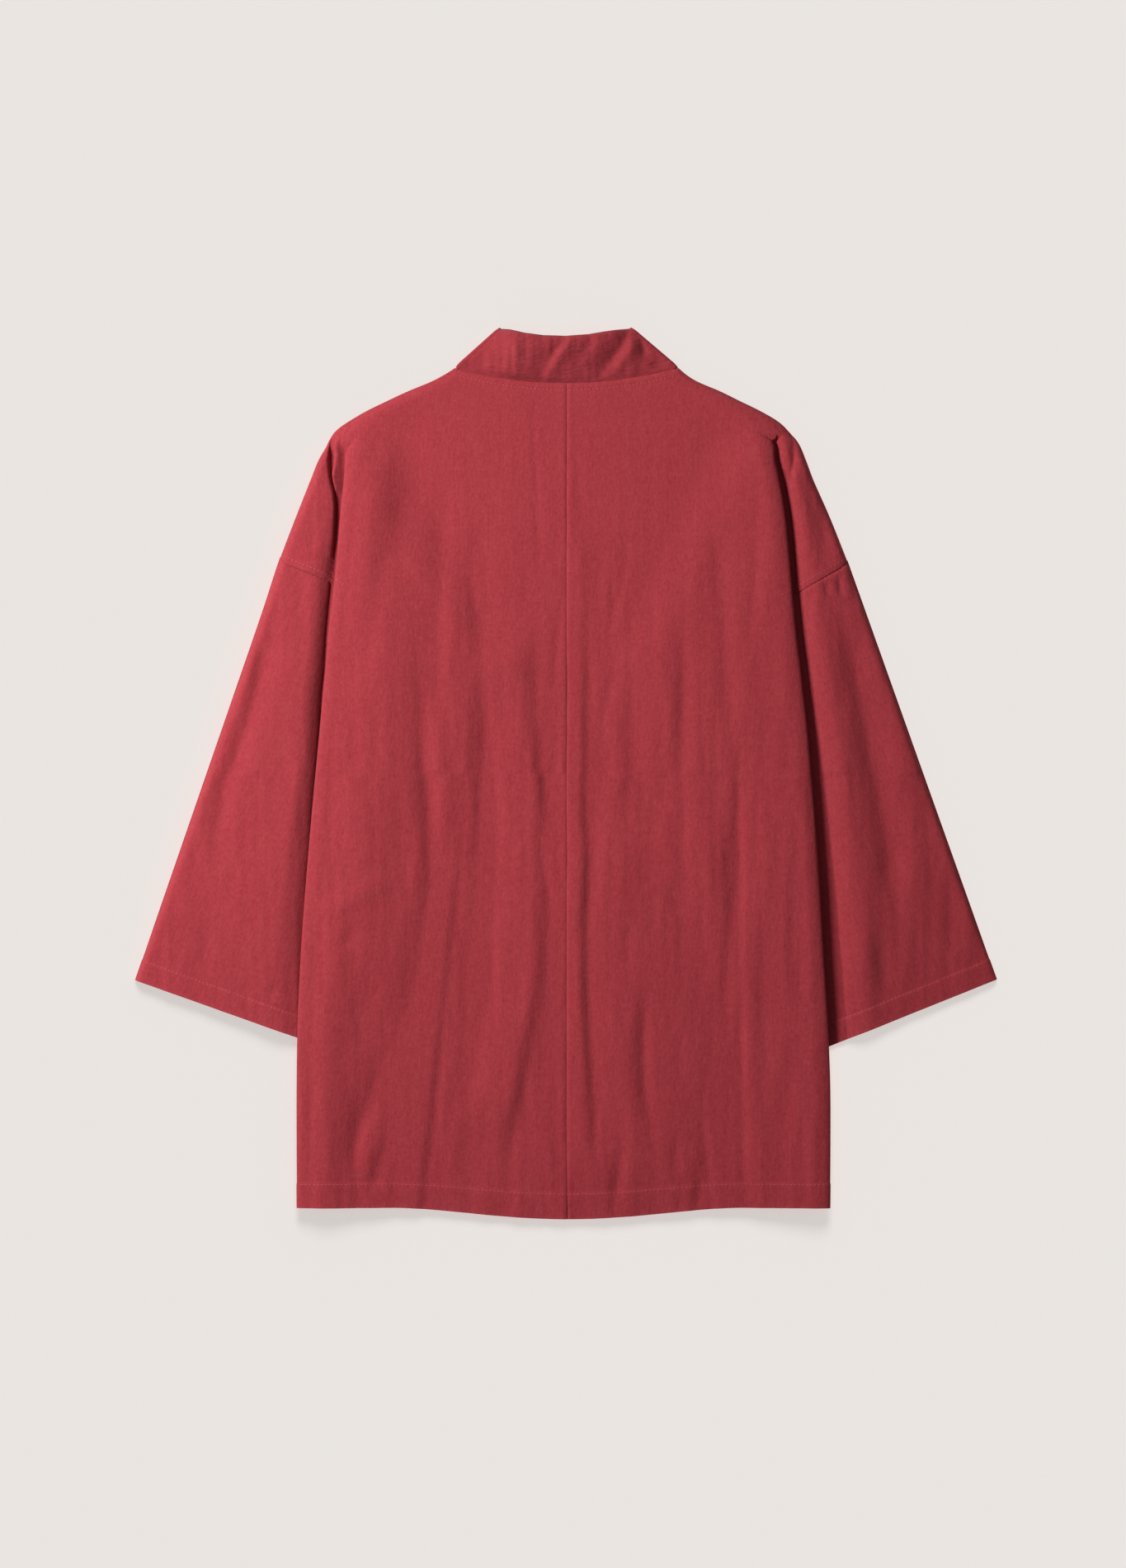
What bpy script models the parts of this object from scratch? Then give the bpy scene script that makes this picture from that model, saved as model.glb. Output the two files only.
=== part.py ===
# Kimono jacket laid flat, its back upwards
# The collar points along +Y and the wearer's left is at -X. The surface it lies on is at height 0.
# The sides are tucked in, so each body panel runs out to a side fold and back in to a tuck,
# and from the shoulder down to the armhole it runs out again as the dropped shoulder.
# Dimensions are in millimetres. Each panel is a sheet through its sections, and gets its wall last.

import math

import bmesh
import bpy

# Cloth and the way it is stacked
CLOTH = 1.2
STACK_GAP = 0.5
SEAM_GAP = 0.3
LAYER = CLOTH + STACK_GAP
BAND_CLOTH = 2.2

# Faces round a fold, along the flat of a tuck, and the overlap from which a fold is turned right over
TURN_STEPS = 3
FLAT_STEPS = 2
FULL_TURN_OVERLAP = 12.0

# Steps of the search for the place where a sleeve crosses the edge of the tucked body
HALVINGS = 40

# Lengths along the body, measured from the middle of the laid-out jacket
NECK_SEAM_Y = 343.5
NECK_DIP = 12.8
NECK_DIP_FADE = 60.0
NECK_HALF_WIDTH = 94.5
ARMHOLE_TOP_Y = 178.2
UNDERARM_X = 81.2
UNDERARM_Y = 87.9
TUCK_AT_UNDERARM = 79.4
BACK_HEM_Y = -367.6
BACK_HEM_DIP = 9.8
BACK_HEM_DIP_REACH = 150.0
FRONT_HEM_RISE = 4.0
SIDE_SEAM_AT_HEM = 132.7

# Heights of the back, to the middle of its cloth
BED_HEIGHT = 4.6
SHELF_RISE = 50.0
SHELF_START = -2.0
LIP_HEIGHT = 14.2
LIP_RADIUS = 2.7
CORNER_LIP_HEIGHT = 9.6
LIP_RISE_LENGTH = 45.0
SHOULDER_CROWN = 5.6
SHOULDER_CROWN_RISE = 0.7
SHOULDER_SHELF_RISE = 100.0
SHOULDER_ROLL = 14.0
NECK_POINT_HEIGHT = 3.4
NECK_POINT_SHARE = 1 / 3

# How the back's under-run sinks to the front, clear of the sleeve between them
SINK_MARGIN = 12.0
SINK_MARGIN_ACROSS = 1.0
SIDE_SEAM_SINK_LENGTH = 90.0
SLEEVE_END_SINK_LENGTH = 50.0

# Where the upper layers step down from the tucked body to the surface
FRONT_FOLD_INSET_AT_CORNER = 6.0
FRONT_FOLD_INSET = 14.0
INSET_START_Y = 265.0
INSET_LENGTH = 40.0
STEP_START = 1.0
STEP_LENGTH = 14.0
BED_SHARE = 0.3
FRONT_NECK_POINT_INSET = 1.5
FRONT_NECK_POINT_DROP = 2.0

# Sleeves
SLEEVE_WIDTH_AT_HEM = 200.0
SLEEVE_RINGS = 12
SLEEVE_PILLOW = 2.6
SLEEVE_PILLOW_AT_HEM = 0.8
SLEEVE_PILLOW_SHARE = 0.25
UNDERARM_INSET = 3.6
ARMHOLE_GAP = 0.6
SLEEVE_HEM_ANGLES = (19.5, 21.8)
LEFT_HEM_TOP = (365.3, -175.2)
RIGHT_HEM_TOP = (364.2, -174.6)

# Neckband
BAND_ROLL_RADIUS = 1.6
BAND_WIDTH = 41.5
BAND_SEAM_BELOW_CHEST = 62.0

# The left half as it lies, a row for each section, distances from the centre back
# columns: y, side fold, tuck or side seam, outer edge
LEFT_SECTIONS = (
    (283.5, 187.0, 194.0, 200.4),
    (277.0, 188.6, 187.2, 203.6),
    (267.0, 188.0, 181.5, 209.4),
    (250.0, 188.6, 174.0, 216.4),
    (224.0, 190.9, 163.0, 226.6),
    (ARMHOLE_TOP_Y, 194.8, 136.7, 243.2),
    (152.0, 197.6, 120.6, 196.2),
    (146.0, 198.3, 116.9, 185.4),
    (120.6, 201.4, 101.3, 139.8),
    (UNDERARM_Y, 204.0, TUCK_AT_UNDERARM, UNDERARM_X),
    (71.0, 205.8, 83.0, 83.0),
    (47.0, 207.9, 85.7, 85.7),
    (-9.0, 213.2, 92.0, 92.0),
    (-79.0, 219.4, 100.0, 100.0),
    (-156.0, 225.0, 108.8, 108.8),
    (-215.0, 227.6, 115.5, 115.5),
    (-262.0, 228.3, 121.0, 121.0),
    (-315.0, 228.3, 127.0, 127.0),
    (BACK_HEM_Y, 228.0, SIDE_SEAM_AT_HEM, SIDE_SEAM_AT_HEM),
)

# The right half, whose side fold starts further in from the shoulder's corner
RIGHT_SECTIONS = (
    (289.5, 168.0, 175.5, 188.8),
    (280.0, 174.4, 171.0, 196.2),
    (266.5, 175.6, 164.0, 202.2),
    (250.0, 179.0, 157.0, 208.4),
    (224.0, 183.6, 144.0, 220.0),
    (ARMHOLE_TOP_Y, 188.4, 123.5, 238.4),
    (152.0, 190.6, 111.6, 192.8),
    (144.0, 191.4, 107.8, 178.9),
    (120.6, 193.6, 96.6, 138.1),
    (UNDERARM_Y, 197.6, TUCK_AT_UNDERARM, UNDERARM_X),
    (71.0, 199.4, 83.0, 83.0),
    (47.0, 202.2, 85.7, 85.7),
    (-9.0, 207.2, 92.0, 92.0),
    (-79.0, 212.6, 100.0, 100.0),
    (-156.0, 217.2, 108.8, 108.8),
    (-215.0, 220.8, 115.5, 115.5),
    (-262.0, 222.6, 121.0, 121.0),
    (-315.0, 222.8, 127.0, 127.0),
    (BACK_HEM_Y, 222.4, SIDE_SEAM_AT_HEM, SIDE_SEAM_AT_HEM),
)

# The first rows have the dropped shoulder, and the underarm row is the last of them
PLEAT_ROWS = 10

# The shoulder line from the neck to the shoulder's corner, columns: y, outer edge
LEFT_SHOULDER = (
    (NECK_SEAM_Y, NECK_HALF_WIDTH),
    (338.1, 103.0),
    (332.5, 113.5),
    (324.1, 133.8),
    (315.7, 152.0),
    (304.5, 174.4),
    (296.1, 188.2),
    (290.5, 195.3),
)
RIGHT_SHOULDER = (
    (NECK_SEAM_Y, NECK_HALF_WIDTH),
    (338.1, 100.8),
    (332.5, 109.6),
    (324.1, 129.4),
    (315.7, 146.4),
    (307.3, 163.6),
    (297.8, 179.8),
)

# Broad soft folds of the back
# columns: side, x at the top, x at the bottom, top y, bottom y, half width, height
BROAD_FOLDS = (
    ("left", 52.0, 66.0, 200.0, -260.0, 26.0, 2.2),
    ("left", 110.0, 178.0, 60.0, -440.0, 40.0, 2.6),
    ("left", 22.0, 30.0, 40.0, -460.0, 20.0, 1.4),
    ("right", 44.0, 50.0, 230.0, -140.0, 24.0, 1.8),
    ("right", 96.0, 76.0, 140.0, -460.0, 28.0, 2.0),
    ("right", 150.0, 160.0, 100.0, -450.0, 26.0, 1.6),
)

# Shares of a run's width at which its section has a point
BACK_RUN = (0.0, 0.10, 0.20, 0.30, 0.40, 0.50, 0.59, 0.68, 0.77, 0.86, 0.94, 1.0)
FRONT_RUN = (0.0, 0.3, 0.6, 1.0)
SLEEVE_OUTER_RUN = (0.0, 0.25, 0.5, 0.75, 1.0)
BAND_RUN = (0.0, 0.33, 0.67, 1.0)

# The neckband from the centre back to its fold, columns: seam x, seam y, free x, free y
BAND_BACK = (
    (0.0, 331.1, 0.0, 370.2),
    (25.0, 332.0, 21.0, 370.8),
    (49.0, 334.6, 36.0, 372.8),
    (72.0, 338.6, 47.0, 375.4),
    (92.4, 343.6, 56.2, 375.8),
)
# and where its seam and its free edge lie beyond the fold, down to the rows that lie square
BAND_UNDER_FOLD = (
    (333.0, 361.0),
    (320.0, 337.0),
    (305.0, 312.5),
    (288.0, 290.5),
)
BAND_LOWER_ROWS = (270.0, 230.0, 180.0, 135.0, UNDERARM_Y, 20.0, -50.0, -130.0, -210.0, -290.0)

CLOTH_COLOUR = (0.375, 0.046, 0.058, 1.0)
CLOTH_ROUGHNESS = 0.85


def smooth(value):
    """An even step from 0 to 1."""
    value = min(max(value, 0.0), 1.0)
    return value * value * (3.0 - 2.0 * value)


def mix(first, second, share):
    return first + (second - first) * share


def mix_points(first, second, share):
    return tuple(mix(a, b, share) for a, b in zip(first, second))


def level(number):
    """Height of the middle of the cloth in a stack of layers, the lowest being number 0."""
    return CLOTH / 2 + number * LAYER


def read_table(rows, y, column):
    """Value of a column at any y, between the rows of a table that runs from top to bottom."""
    if y >= rows[0][0]:
        return rows[0][column]
    for upper, lower in zip(rows, rows[1:]):
        if y >= lower[0]:
            return mix(lower[column], upper[column], (y - lower[0]) / (upper[0] - lower[0]))
    return rows[-1][column]


class Half:
    """One half of the jacket: its tables, and how high its layers lie."""

    def __init__(self, name, sign, sections, shoulder, hem_top, hem_angle):
        self.name = name
        self.sign = sign
        self.sections = sections
        self.shoulder = shoulder
        self.outline = shoulder + tuple((row[0], row[3]) for row in sections[:6])
        self.armhole_top = (self.outline[-1][1], ARMHOLE_TOP_Y)
        self.hem_top = hem_top
        slope = math.radians(hem_angle)
        self.hem_under = (
            hem_top[0] - SLEEVE_WIDTH_AT_HEM * math.cos(slope),
            hem_top[1] - SLEEVE_WIDTH_AT_HEM * math.sin(slope),
        )

    def fold(self, y):
        return read_table(self.sections, y, 1)

    def tuck(self, y):
        return read_table(self.sections, y, 2)

    def front_fold(self, y):
        """Side fold of the front, which lies further in than the back's."""
        grown = smooth((INSET_START_Y - y) / INSET_LENGTH)
        return self.fold(y) - mix(FRONT_FOLD_INSET_AT_CORNER, FRONT_FOLD_INSET, grown)

    def outer_edge(self, y):
        """Outline of the layers that come out of the tuck: shoulder, then the sleeve's top fold."""
        if y >= ARMHOLE_TOP_Y:
            return read_table(self.outline, y, 1)
        share = (ARMHOLE_TOP_Y - y) / (ARMHOLE_TOP_Y - self.hem_top[1])
        return mix(self.armhole_top[0], self.hem_top[0], share)

    def underarm_fold(self, y):
        """Where the sleeve's lower fold lies inside the body."""
        share = (UNDERARM_Y - y) / (UNDERARM_Y - self.hem_under[1])
        share = min(max(share, 0.0), 1.0)
        return mix(UNDERARM_X + UNDERARM_INSET, self.hem_under[0], share)

    def step_ends(self, y):
        """Where the layers start to come down from the tucked body, and where they are down."""
        start = self.front_fold(y) + STEP_START
        return start, min(start + STEP_LENGTH, self.outer_edge(y))

    def raised(self, x, y):
        """1 on top of the tucked body, and 0 where a layer has come down to the surface."""
        start, end = self.step_ends(y)
        return 1.0 - min(max((x - start) / (end - start), 0.0), 1.0)

    def front_third_height(self, x, y):
        return mix(level(0), level(2), self.raised(x, y))

    def back_third_height(self, x, y):
        return mix(level(1), level(3), self.raised(x, y))

    def lip(self, y):
        """Height of the back's side fold, which rises from the shoulder's corner."""
        fallen = (self.sections[0][0] - y) / LIP_RISE_LENGTH
        return mix(CORNER_LIP_HEIGHT, LIP_HEIGHT, smooth(fallen))

    def broad_folds(self, x, y):
        """Height of the large soft folds at a point of the back."""
        total = 0.0
        for name, top_x, bottom_x, top_y, bottom_y, half_width, height in BROAD_FOLDS:
            share = (top_y - y) / (top_y - bottom_y)
            if name != self.name or not 0.0 < share < 1.0:
                continue
            across = (x - mix(top_x, bottom_x, share)) / half_width
            total += height * math.sin(math.pi * share) * math.exp(-across * across)
        return total

    def back_height(self, x, y):
        """Height of the back's upper run, below the shoulder's corner."""
        lip = self.lip(y)
        shelf = min(level(5) + STACK_GAP, lip)
        start = self.tuck(y) if y >= UNDERARM_Y else self.underarm_fold(y)
        start += SHELF_START
        height = mix(BED_HEIGHT, shelf, smooth((x - start + SHELF_RISE) / SHELF_RISE))
        if x > start:
            share = (x - start) / max(self.fold(y) - start, 1.0)
            height += (lip - shelf) * min(share, 1.0) ** 2
        return height + self.broad_folds(x, y)

    def shoulder_height(self, x, y, edge):
        """Height of the back between the neck and the shoulder's corner."""
        to_corner = (NECK_SEAM_Y - y) / (NECK_SEAM_Y - self.shoulder[-1][0])
        crown = mix(SHOULDER_CROWN, CORNER_LIP_HEIGHT, smooth(to_corner) * SHOULDER_CROWN_RISE)
        height = mix(BED_HEIGHT, crown, smooth((x - edge + SHOULDER_SHELF_RISE) / SHELF_RISE))
        edge_height = mix(NECK_POINT_HEIGHT, level(1), smooth(to_corner / NECK_POINT_SHARE))
        rolled = max(x - edge + SHOULDER_ROLL, 0.0) / SHOULDER_ROLL
        return mix(edge_height, height, math.sqrt(max(1.0 - rolled * rolled, 0.0)))

    def seam_height(self, y):
        """Height of the back's edge at the side seam, which sinks to the front's below the underarm."""
        resting = level(1) + CLOTH + SEAM_GAP
        sunk = (UNDERARM_Y - SINK_MARGIN - y) / SIDE_SEAM_SINK_LENGTH
        return mix(level(4), resting, smooth(sunk))

    def under_run_height(self, y):
        """Height of the back's under-run on the sleeve, and on the front below the sleeve's hem."""
        sunk = (self.hem_under[1] - SINK_MARGIN - y) / SLEEVE_END_SINK_LENGTH
        return mix(level(4), level(3), smooth(sunk))


def arc(x, start_height, end_height, angle, outward):
    """Points round a fold, from the run at one height towards the run at the other."""
    radius = abs(end_height - start_height) / 2
    rise = 1.0 if end_height > start_height else -1.0
    points = []
    for number in range(TURN_STEPS + 1):
        turned = angle * number / TURN_STEPS
        across = x + outward * radius * math.sin(turned)
        points.append((across, start_height + rise * radius * (1.0 - math.cos(turned))))
    return points


def soft_step(first, last, count):
    """Points of a slope between two ends, level at both."""
    points = []
    for number in range(count):
        share = number / (count - 1)
        points.append((mix(first[0], last[0], share), mix(first[1], last[1], smooth(share))))
    return points


def inner_points(first, last, count):
    """Points strictly between two ends of a straight stretch."""
    return [mix_points(first, last, number / (count + 1)) for number in range(1, count + 1)]


def tucked_section(half, y, turns, heights):
    """Section from the side fold in to the tuck, and out again to the outer edge."""
    fold_x, tuck_x, edge = turns
    run_height, under_height, third_height = heights
    overlap = fold_x - tuck_x
    third_x = tuck_x + LAYER / 2
    third = third_height(third_x, y)
    run_end = fold_x - abs(run_height - under_height) / 2
    if overlap < 0.0:
        points = soft_step((run_end, run_height), (third_x, third), 2 * TURN_STEPS + FLAT_STEPS + 2)
    else:
        folded = smooth((overlap + FULL_TURN_OVERLAP) / (2 * FULL_TURN_OVERLAP))
        angle = math.pi * mix(0.5, 1.0, smooth(overlap / FULL_TURN_OVERLAP))
        middle = (run_height + third) / 2
        layer = LAYER if run_height > third else -LAYER
        first = arc(run_end, run_height, mix(middle, under_height, folded), angle, 1.0)
        second = arc(third_x, third, mix(middle, third + layer, folded), angle, -1.0)
        second.reverse()
        points = first + inner_points(first[-1], second[0], FLAT_STEPS) + second
    start, end = half.step_ends(y)
    for stop in (mix(third_x, start, 0.5), start, end, edge):
        stop = min(max(stop, points[-1][0]), edge)
        points.append((stop, third_height(stop, y)))
    return points


def seamed_section(fold_x, run_height, under_height, bed, seam):
    """Section from the side fold over the bed of layers to the side seam, below the underarm."""
    fold_radius = abs(run_height - under_height) / 2
    points = arc(fold_x - fold_radius, run_height, under_height, math.pi, 1.0)
    halfway = (mix(bed[0], points[-1][0], 0.5), mix(bed[1], under_height, BED_SHARE))
    return points + [halfway, bed, seam]


def back_section(half, index):
    """One row of the back panel, from the centre back outwards."""
    y, fold_x, tuck_x, edge = half.sections[index]
    lip = half.lip(y)
    under = max(lip - 2 * LIP_RADIUS, level(4))
    fold_radius = (lip - under) / 2
    run_end = fold_x - fold_radius
    points = []
    for share in BACK_RUN[:-1]:
        x = mix(SEAM_GAP / 2, run_end, share)
        points.append((x, half.back_height(x, y)))
    if index < PLEAT_ROWS:
        heights = (lip, under, half.back_third_height)
        return points + tucked_section(half, y, (fold_x, tuck_x, edge), heights)
    bed = (half.underarm_fold(y) - SINK_MARGIN_ACROSS, half.under_run_height(y))
    return points + seamed_section(fold_x, lip, under, bed, (tuck_x, half.seam_height(y)))


def band_seam(y):
    """Distance from the centre back to the seam between a front and the neckband."""
    share = min((NECK_SEAM_Y - y) / (NECK_SEAM_Y - UNDERARM_Y), 1.0)
    return mix(NECK_HALF_WIDTH, BAND_SEAM_BELOW_CHEST, share)


def front_section(half, index):
    """One row of a front panel, from its seam with the neckband outwards."""
    y, _, tuck_x, edge = half.sections[index]
    fold_x = half.front_fold(y)
    inner = band_seam(y) + SEAM_GAP
    run_end = fold_x - LAYER / 2
    points = [(mix(inner, run_end, share), level(0)) for share in FRONT_RUN[:-1]]
    if index < PLEAT_ROWS:
        heights = (level(0), level(1), half.front_third_height)
        return points + tucked_section(half, y, (fold_x, tuck_x, edge), heights)
    bed = (half.underarm_fold(y) - SINK_MARGIN_ACROSS, level(1))
    return points + seamed_section(fold_x, level(0), level(1), bed, (tuck_x, level(1)))


def dip(x, y):
    """How far a row of the back dips at the centre: the neck's curve, which fades out, and the hem's."""
    if y == BACK_HEM_Y:
        return BACK_HEM_DIP * max(1.0 - (x / BACK_HEM_DIP_REACH) ** 2, 0.0) ** 2
    fading = 1.0 - smooth((NECK_SEAM_Y - y) / NECK_DIP_FADE)
    return NECK_DIP * max(1.0 - (x / NECK_HALF_WIDTH) ** 2, 0.0) * fading


def back_rows(half):
    """Rows of the back as points (x, y, z), from the neck seam to the hem."""
    rows = []
    for y, edge in half.shoulder:
        stops = [mix(SEAM_GAP / 2, edge, share) for share in BACK_RUN]
        rows.append([(x, y - dip(x, y), half.shoulder_height(x, y, edge)) for x in stops])
    for index, section in enumerate(half.sections):
        y = section[0]
        rows.append([(x, y - dip(x, y), z) for x, z in back_section(half, index)])
    return rows


def front_rows(half):
    """Rows of a front as points (x, y, z), from the neck point to the hem."""
    neck_point = NECK_HALF_WIDTH + FRONT_NECK_POINT_INSET
    rows = [[(neck_point, NECK_SEAM_Y - FRONT_NECK_POINT_DROP, level(0))]]
    for y, edge in half.shoulder[1:]:
        inner = band_seam(y) + SEAM_GAP
        rows.append([(mix(inner, edge, share), y, level(0)) for share in FRONT_RUN])
    for index, section in enumerate(half.sections):
        y = section[0]
        if y == BACK_HEM_Y:
            y += FRONT_HEM_RISE
        rows.append([(x, y, z) for x, z in front_section(half, index)])
    return rows


def sleeve_rows(half):
    """Rings of a sleeve as points (x, y, z), from the armhole to the hem."""
    top_start = half.armhole_top
    seam_x = UNDERARM_X - top_start[0]
    seam_y = UNDERARM_Y - top_start[1]
    seam_length = math.hypot(seam_x, seam_y)
    inset = 1.0 - UNDERARM_INSET / seam_length
    under_start = (top_start[0] + seam_x * inset, top_start[1] + seam_y * inset)
    length = math.hypot(half.hem_top[0] - top_start[0], half.hem_top[1] - top_start[1])
    rows = []
    for number in range(SLEEVE_RINGS):
        share = mix(ARMHOLE_GAP / length, 1.0, number / (SLEEVE_RINGS - 1))
        top = mix_points(top_start, half.hem_top, share)
        under = mix_points(under_start, half.hem_under, share)
        rows.append(sleeve_ring(half, top, under, share))
    return rows


def sleeve_ring(half, top, under, share):
    """One ring of a sleeve: out along the upper layer, and back along the lower one."""
    width = math.dist(top, under)
    radius = LAYER / 2
    down = crossing(half, top, under, 1)
    up = crossing(half, top, under, 0)
    stops = [mix(radius / width, down, part) for part in SLEEVE_OUTER_RUN]
    stops += [up, mix(up, 1.0, 0.5), 1.0 - radius / width]
    pillow = SLEEVE_PILLOW * smooth(share / SLEEVE_PILLOW_SHARE)
    before_hem = 1.0 - share
    if before_hem < SLEEVE_PILLOW_SHARE:
        pillow = mix(SLEEVE_PILLOW_AT_HEM, SLEEVE_PILLOW, smooth(before_hem / SLEEVE_PILLOW_SHARE))
    upper = []
    lower = []
    for stop in stops:
        x, y = mix_points(top, under, stop)
        raised = half.raised(x, y)
        puff = pillow * math.sin(math.pi * min(stop / down, 1.0)) * (1.0 - raised)
        upper.append((x, y, mix(level(1), level(3), raised) + puff))
        lower.append((x, y, mix(level(0), level(2), raised)))
    lower.reverse()
    toward_top = ((top[0] - under[0]) / width, (top[1] - under[1]) / width)
    toward_under = (-toward_top[0], -toward_top[1])
    ring = upper + turn_back(upper[-1], lower[0], toward_under)
    return ring + lower + turn_back(lower[-1], upper[0], toward_top)


def crossing(half, top, under, end):
    """Share of a sleeve's width, from its top fold, at which the step starts or ends."""
    low, high = 0.0, 1.0
    for _ in range(HALVINGS):
        middle = (low + high) / 2
        x, y = mix_points(top, under, middle)
        if x > half.step_ends(y)[end]:
            low = middle
        else:
            high = middle
    return high


def turn_back(start, end, outward):
    """Inner points of a sleeve's fold, from one layer round to the other."""
    radius = (start[2] - end[2]) / 2
    middle = (start[2] + end[2]) / 2
    points = []
    for number in range(1, TURN_STEPS):
        angle = math.pi * number / TURN_STEPS
        reach = abs(radius) * math.sin(angle)
        x = start[0] + outward[0] * reach
        y = start[1] + outward[1] * reach
        points.append((x, y, middle + radius * math.cos(angle)))
    return points


def band_rows():
    """Rows of half the neckband, from the centre back round the fold and down a front to the hem."""
    under = BAND_CLOTH / 2
    upper = under + 2 * BAND_ROLL_RADIUS
    rows = []
    for seam_x, seam_y, free_x, free_y in BAND_BACK:
        rows.append(((seam_x, seam_y, upper), (free_x, free_y, upper)))
    seam_x, seam_y, free_x, free_y = BAND_BACK[-1]
    length = math.hypot(free_x - seam_x, free_y - seam_y)
    out_x = (free_y - seam_y) / length
    out_y = (seam_x - free_x) / length
    for number in range(1, TURN_STEPS + 2):
        angle = math.pi * number / (TURN_STEPS + 1)
        shift = BAND_ROLL_RADIUS * math.sin(angle)
        z = under + BAND_ROLL_RADIUS * (1.0 + math.cos(angle))
        seam = (seam_x + out_x * shift, seam_y + out_y * shift, z)
        rows.append((seam, (free_x + out_x * shift, free_y + out_y * shift, z)))
    square = tuple((y, y) for y in BAND_LOWER_ROWS + (BACK_HEM_Y + FRONT_HEM_RISE,))
    for seam_y, free_y in BAND_UNDER_FOLD + square:
        x = band_seam(seam_y)
        rows.append(((x, seam_y, under), (x - BAND_WIDTH, free_y, under)))
    return rows


def add_sheet(mesh, rows, closed=False):
    """Skin rows of points with faces. A row longer than the one above it fans out from that one's last point."""
    made = [[mesh.verts.new([value / 1000 for value in point]) for point in row] for row in rows]
    for upper, lower in zip(made, made[1:]):
        columns = len(lower)
        for column in range(columns - 1 + int(closed)):
            following = (column + 1) % columns if closed else column + 1
            corners = []
            for row, place in ((upper, column), (lower, column), (lower, following), (upper, following)):
                corner = row[min(place, len(row) - 1)]
                if corner not in corners:
                    corners.append(corner)
            mesh.faces.new(corners)
    bmesh.ops.remove_doubles(mesh, verts=mesh.verts, dist=1e-6)
    bmesh.ops.dissolve_degenerate(mesh, edges=mesh.edges, dist=1e-6)


def finish_sheet(mesh, name, thickness):
    """Make the sheet an object, and give it the wall of its cloth."""
    data = bpy.data.meshes.new(name)
    bmesh.ops.recalc_face_normals(mesh, faces=mesh.faces)
    mesh.to_mesh(data)
    mesh.free()
    for polygon in data.polygons:
        polygon.use_smooth = True
    sheet = bpy.data.objects.new(name, data)
    bpy.context.scene.collection.objects.link(sheet)
    wall = sheet.modifiers.new("Cloth wall", "SOLIDIFY")
    wall.thickness = thickness / 1000
    wall.offset = 0.0
    wall.use_even_offset = True
    wall.use_quality_normals = True
    data.materials.append(cloth_material(name))
    return sheet


def cloth_material(name):
    material = bpy.data.materials.new(name + " cloth")
    material.use_nodes = True
    shader = material.node_tree.nodes["Principled BSDF"]
    shader.inputs["Base Color"].default_value = CLOTH_COLOUR
    shader.inputs["Roughness"].default_value = CLOTH_ROUGHNESS
    shader.inputs["Metallic"].default_value = 0.0
    return material


def place(rows, sign):
    """Put rows that are measured outwards on their own side of the centre back."""
    return [[(sign * x, y, z) for x, y, z in row] for row in rows]


def make_panel(half, kind, rows, closed=False):
    mesh = bmesh.new()
    add_sheet(mesh, place(rows, half.sign), closed)
    return finish_sheet(mesh, f"{kind}_{half.name}", CLOTH)


def make_neckband():
    """The neckband in one piece, from one front's hem round the neck to the other's."""
    rows = []
    for seam, free in band_rows():
        rows.append([mix_points(seam, free, share) for share in BAND_RUN])
    left = place(rows, -1)
    left.reverse()
    mesh = bmesh.new()
    add_sheet(mesh, left + place(rows[1:], 1))
    return finish_sheet(mesh, "neckband", BAND_CLOTH)


def main():
    for item in list(bpy.data.objects):
        bpy.data.objects.remove(item, do_unlink=True)
    halves = (
        Half("left", -1, LEFT_SECTIONS, LEFT_SHOULDER, LEFT_HEM_TOP, SLEEVE_HEM_ANGLES[0]),
        Half("right", 1, RIGHT_SECTIONS, RIGHT_SHOULDER, RIGHT_HEM_TOP, SLEEVE_HEM_ANGLES[1]),
    )
    for half in halves:
        make_panel(half, "back", back_rows(half))
        make_panel(half, "front", front_rows(half))
        make_panel(half, "sleeve", sleeve_rows(half), closed=True)
    make_neckband()


main()
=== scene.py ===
# %% [markdown]
# # A kimono jacket laid flat
# This jacket is cut from straight widths of slubbed linen-cotton: two back halves, two fronts, two sleeves
# and one long neckband. It lies on its fronts with its sides tucked in, and the lens looks straight down on
# its back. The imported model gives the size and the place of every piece. Here each piece is made again as
# thin cloth on that form, with its creases, hems and stitching.

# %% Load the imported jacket
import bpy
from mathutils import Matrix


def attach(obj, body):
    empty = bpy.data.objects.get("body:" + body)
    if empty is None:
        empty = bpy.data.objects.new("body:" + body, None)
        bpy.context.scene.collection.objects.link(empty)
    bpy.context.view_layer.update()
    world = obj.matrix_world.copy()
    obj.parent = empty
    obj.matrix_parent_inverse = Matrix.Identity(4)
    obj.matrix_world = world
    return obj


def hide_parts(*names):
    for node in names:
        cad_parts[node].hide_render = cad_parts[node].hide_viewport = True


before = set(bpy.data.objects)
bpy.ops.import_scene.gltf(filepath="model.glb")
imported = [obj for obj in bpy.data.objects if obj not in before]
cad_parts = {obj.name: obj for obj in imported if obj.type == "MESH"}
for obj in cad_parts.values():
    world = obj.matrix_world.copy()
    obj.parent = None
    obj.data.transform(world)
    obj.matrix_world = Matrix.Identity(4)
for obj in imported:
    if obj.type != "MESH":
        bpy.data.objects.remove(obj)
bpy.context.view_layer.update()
print("packed nodes:", sorted(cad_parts))

# %% Modules
import math

import bmesh
import bpy
import numpy as np
from mathutils import Matrix, Vector
from mathutils.bvhtree import BVHTree

# %% [markdown]
# ## The lens
# A jacket on a table is photographed from straight above. The camera could be orthographic, but a long lens
# far up gives nearly the same picture and is what a studio uses. Each of its 1365 by 1900 pixels covers
# 0.70 mm.

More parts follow.
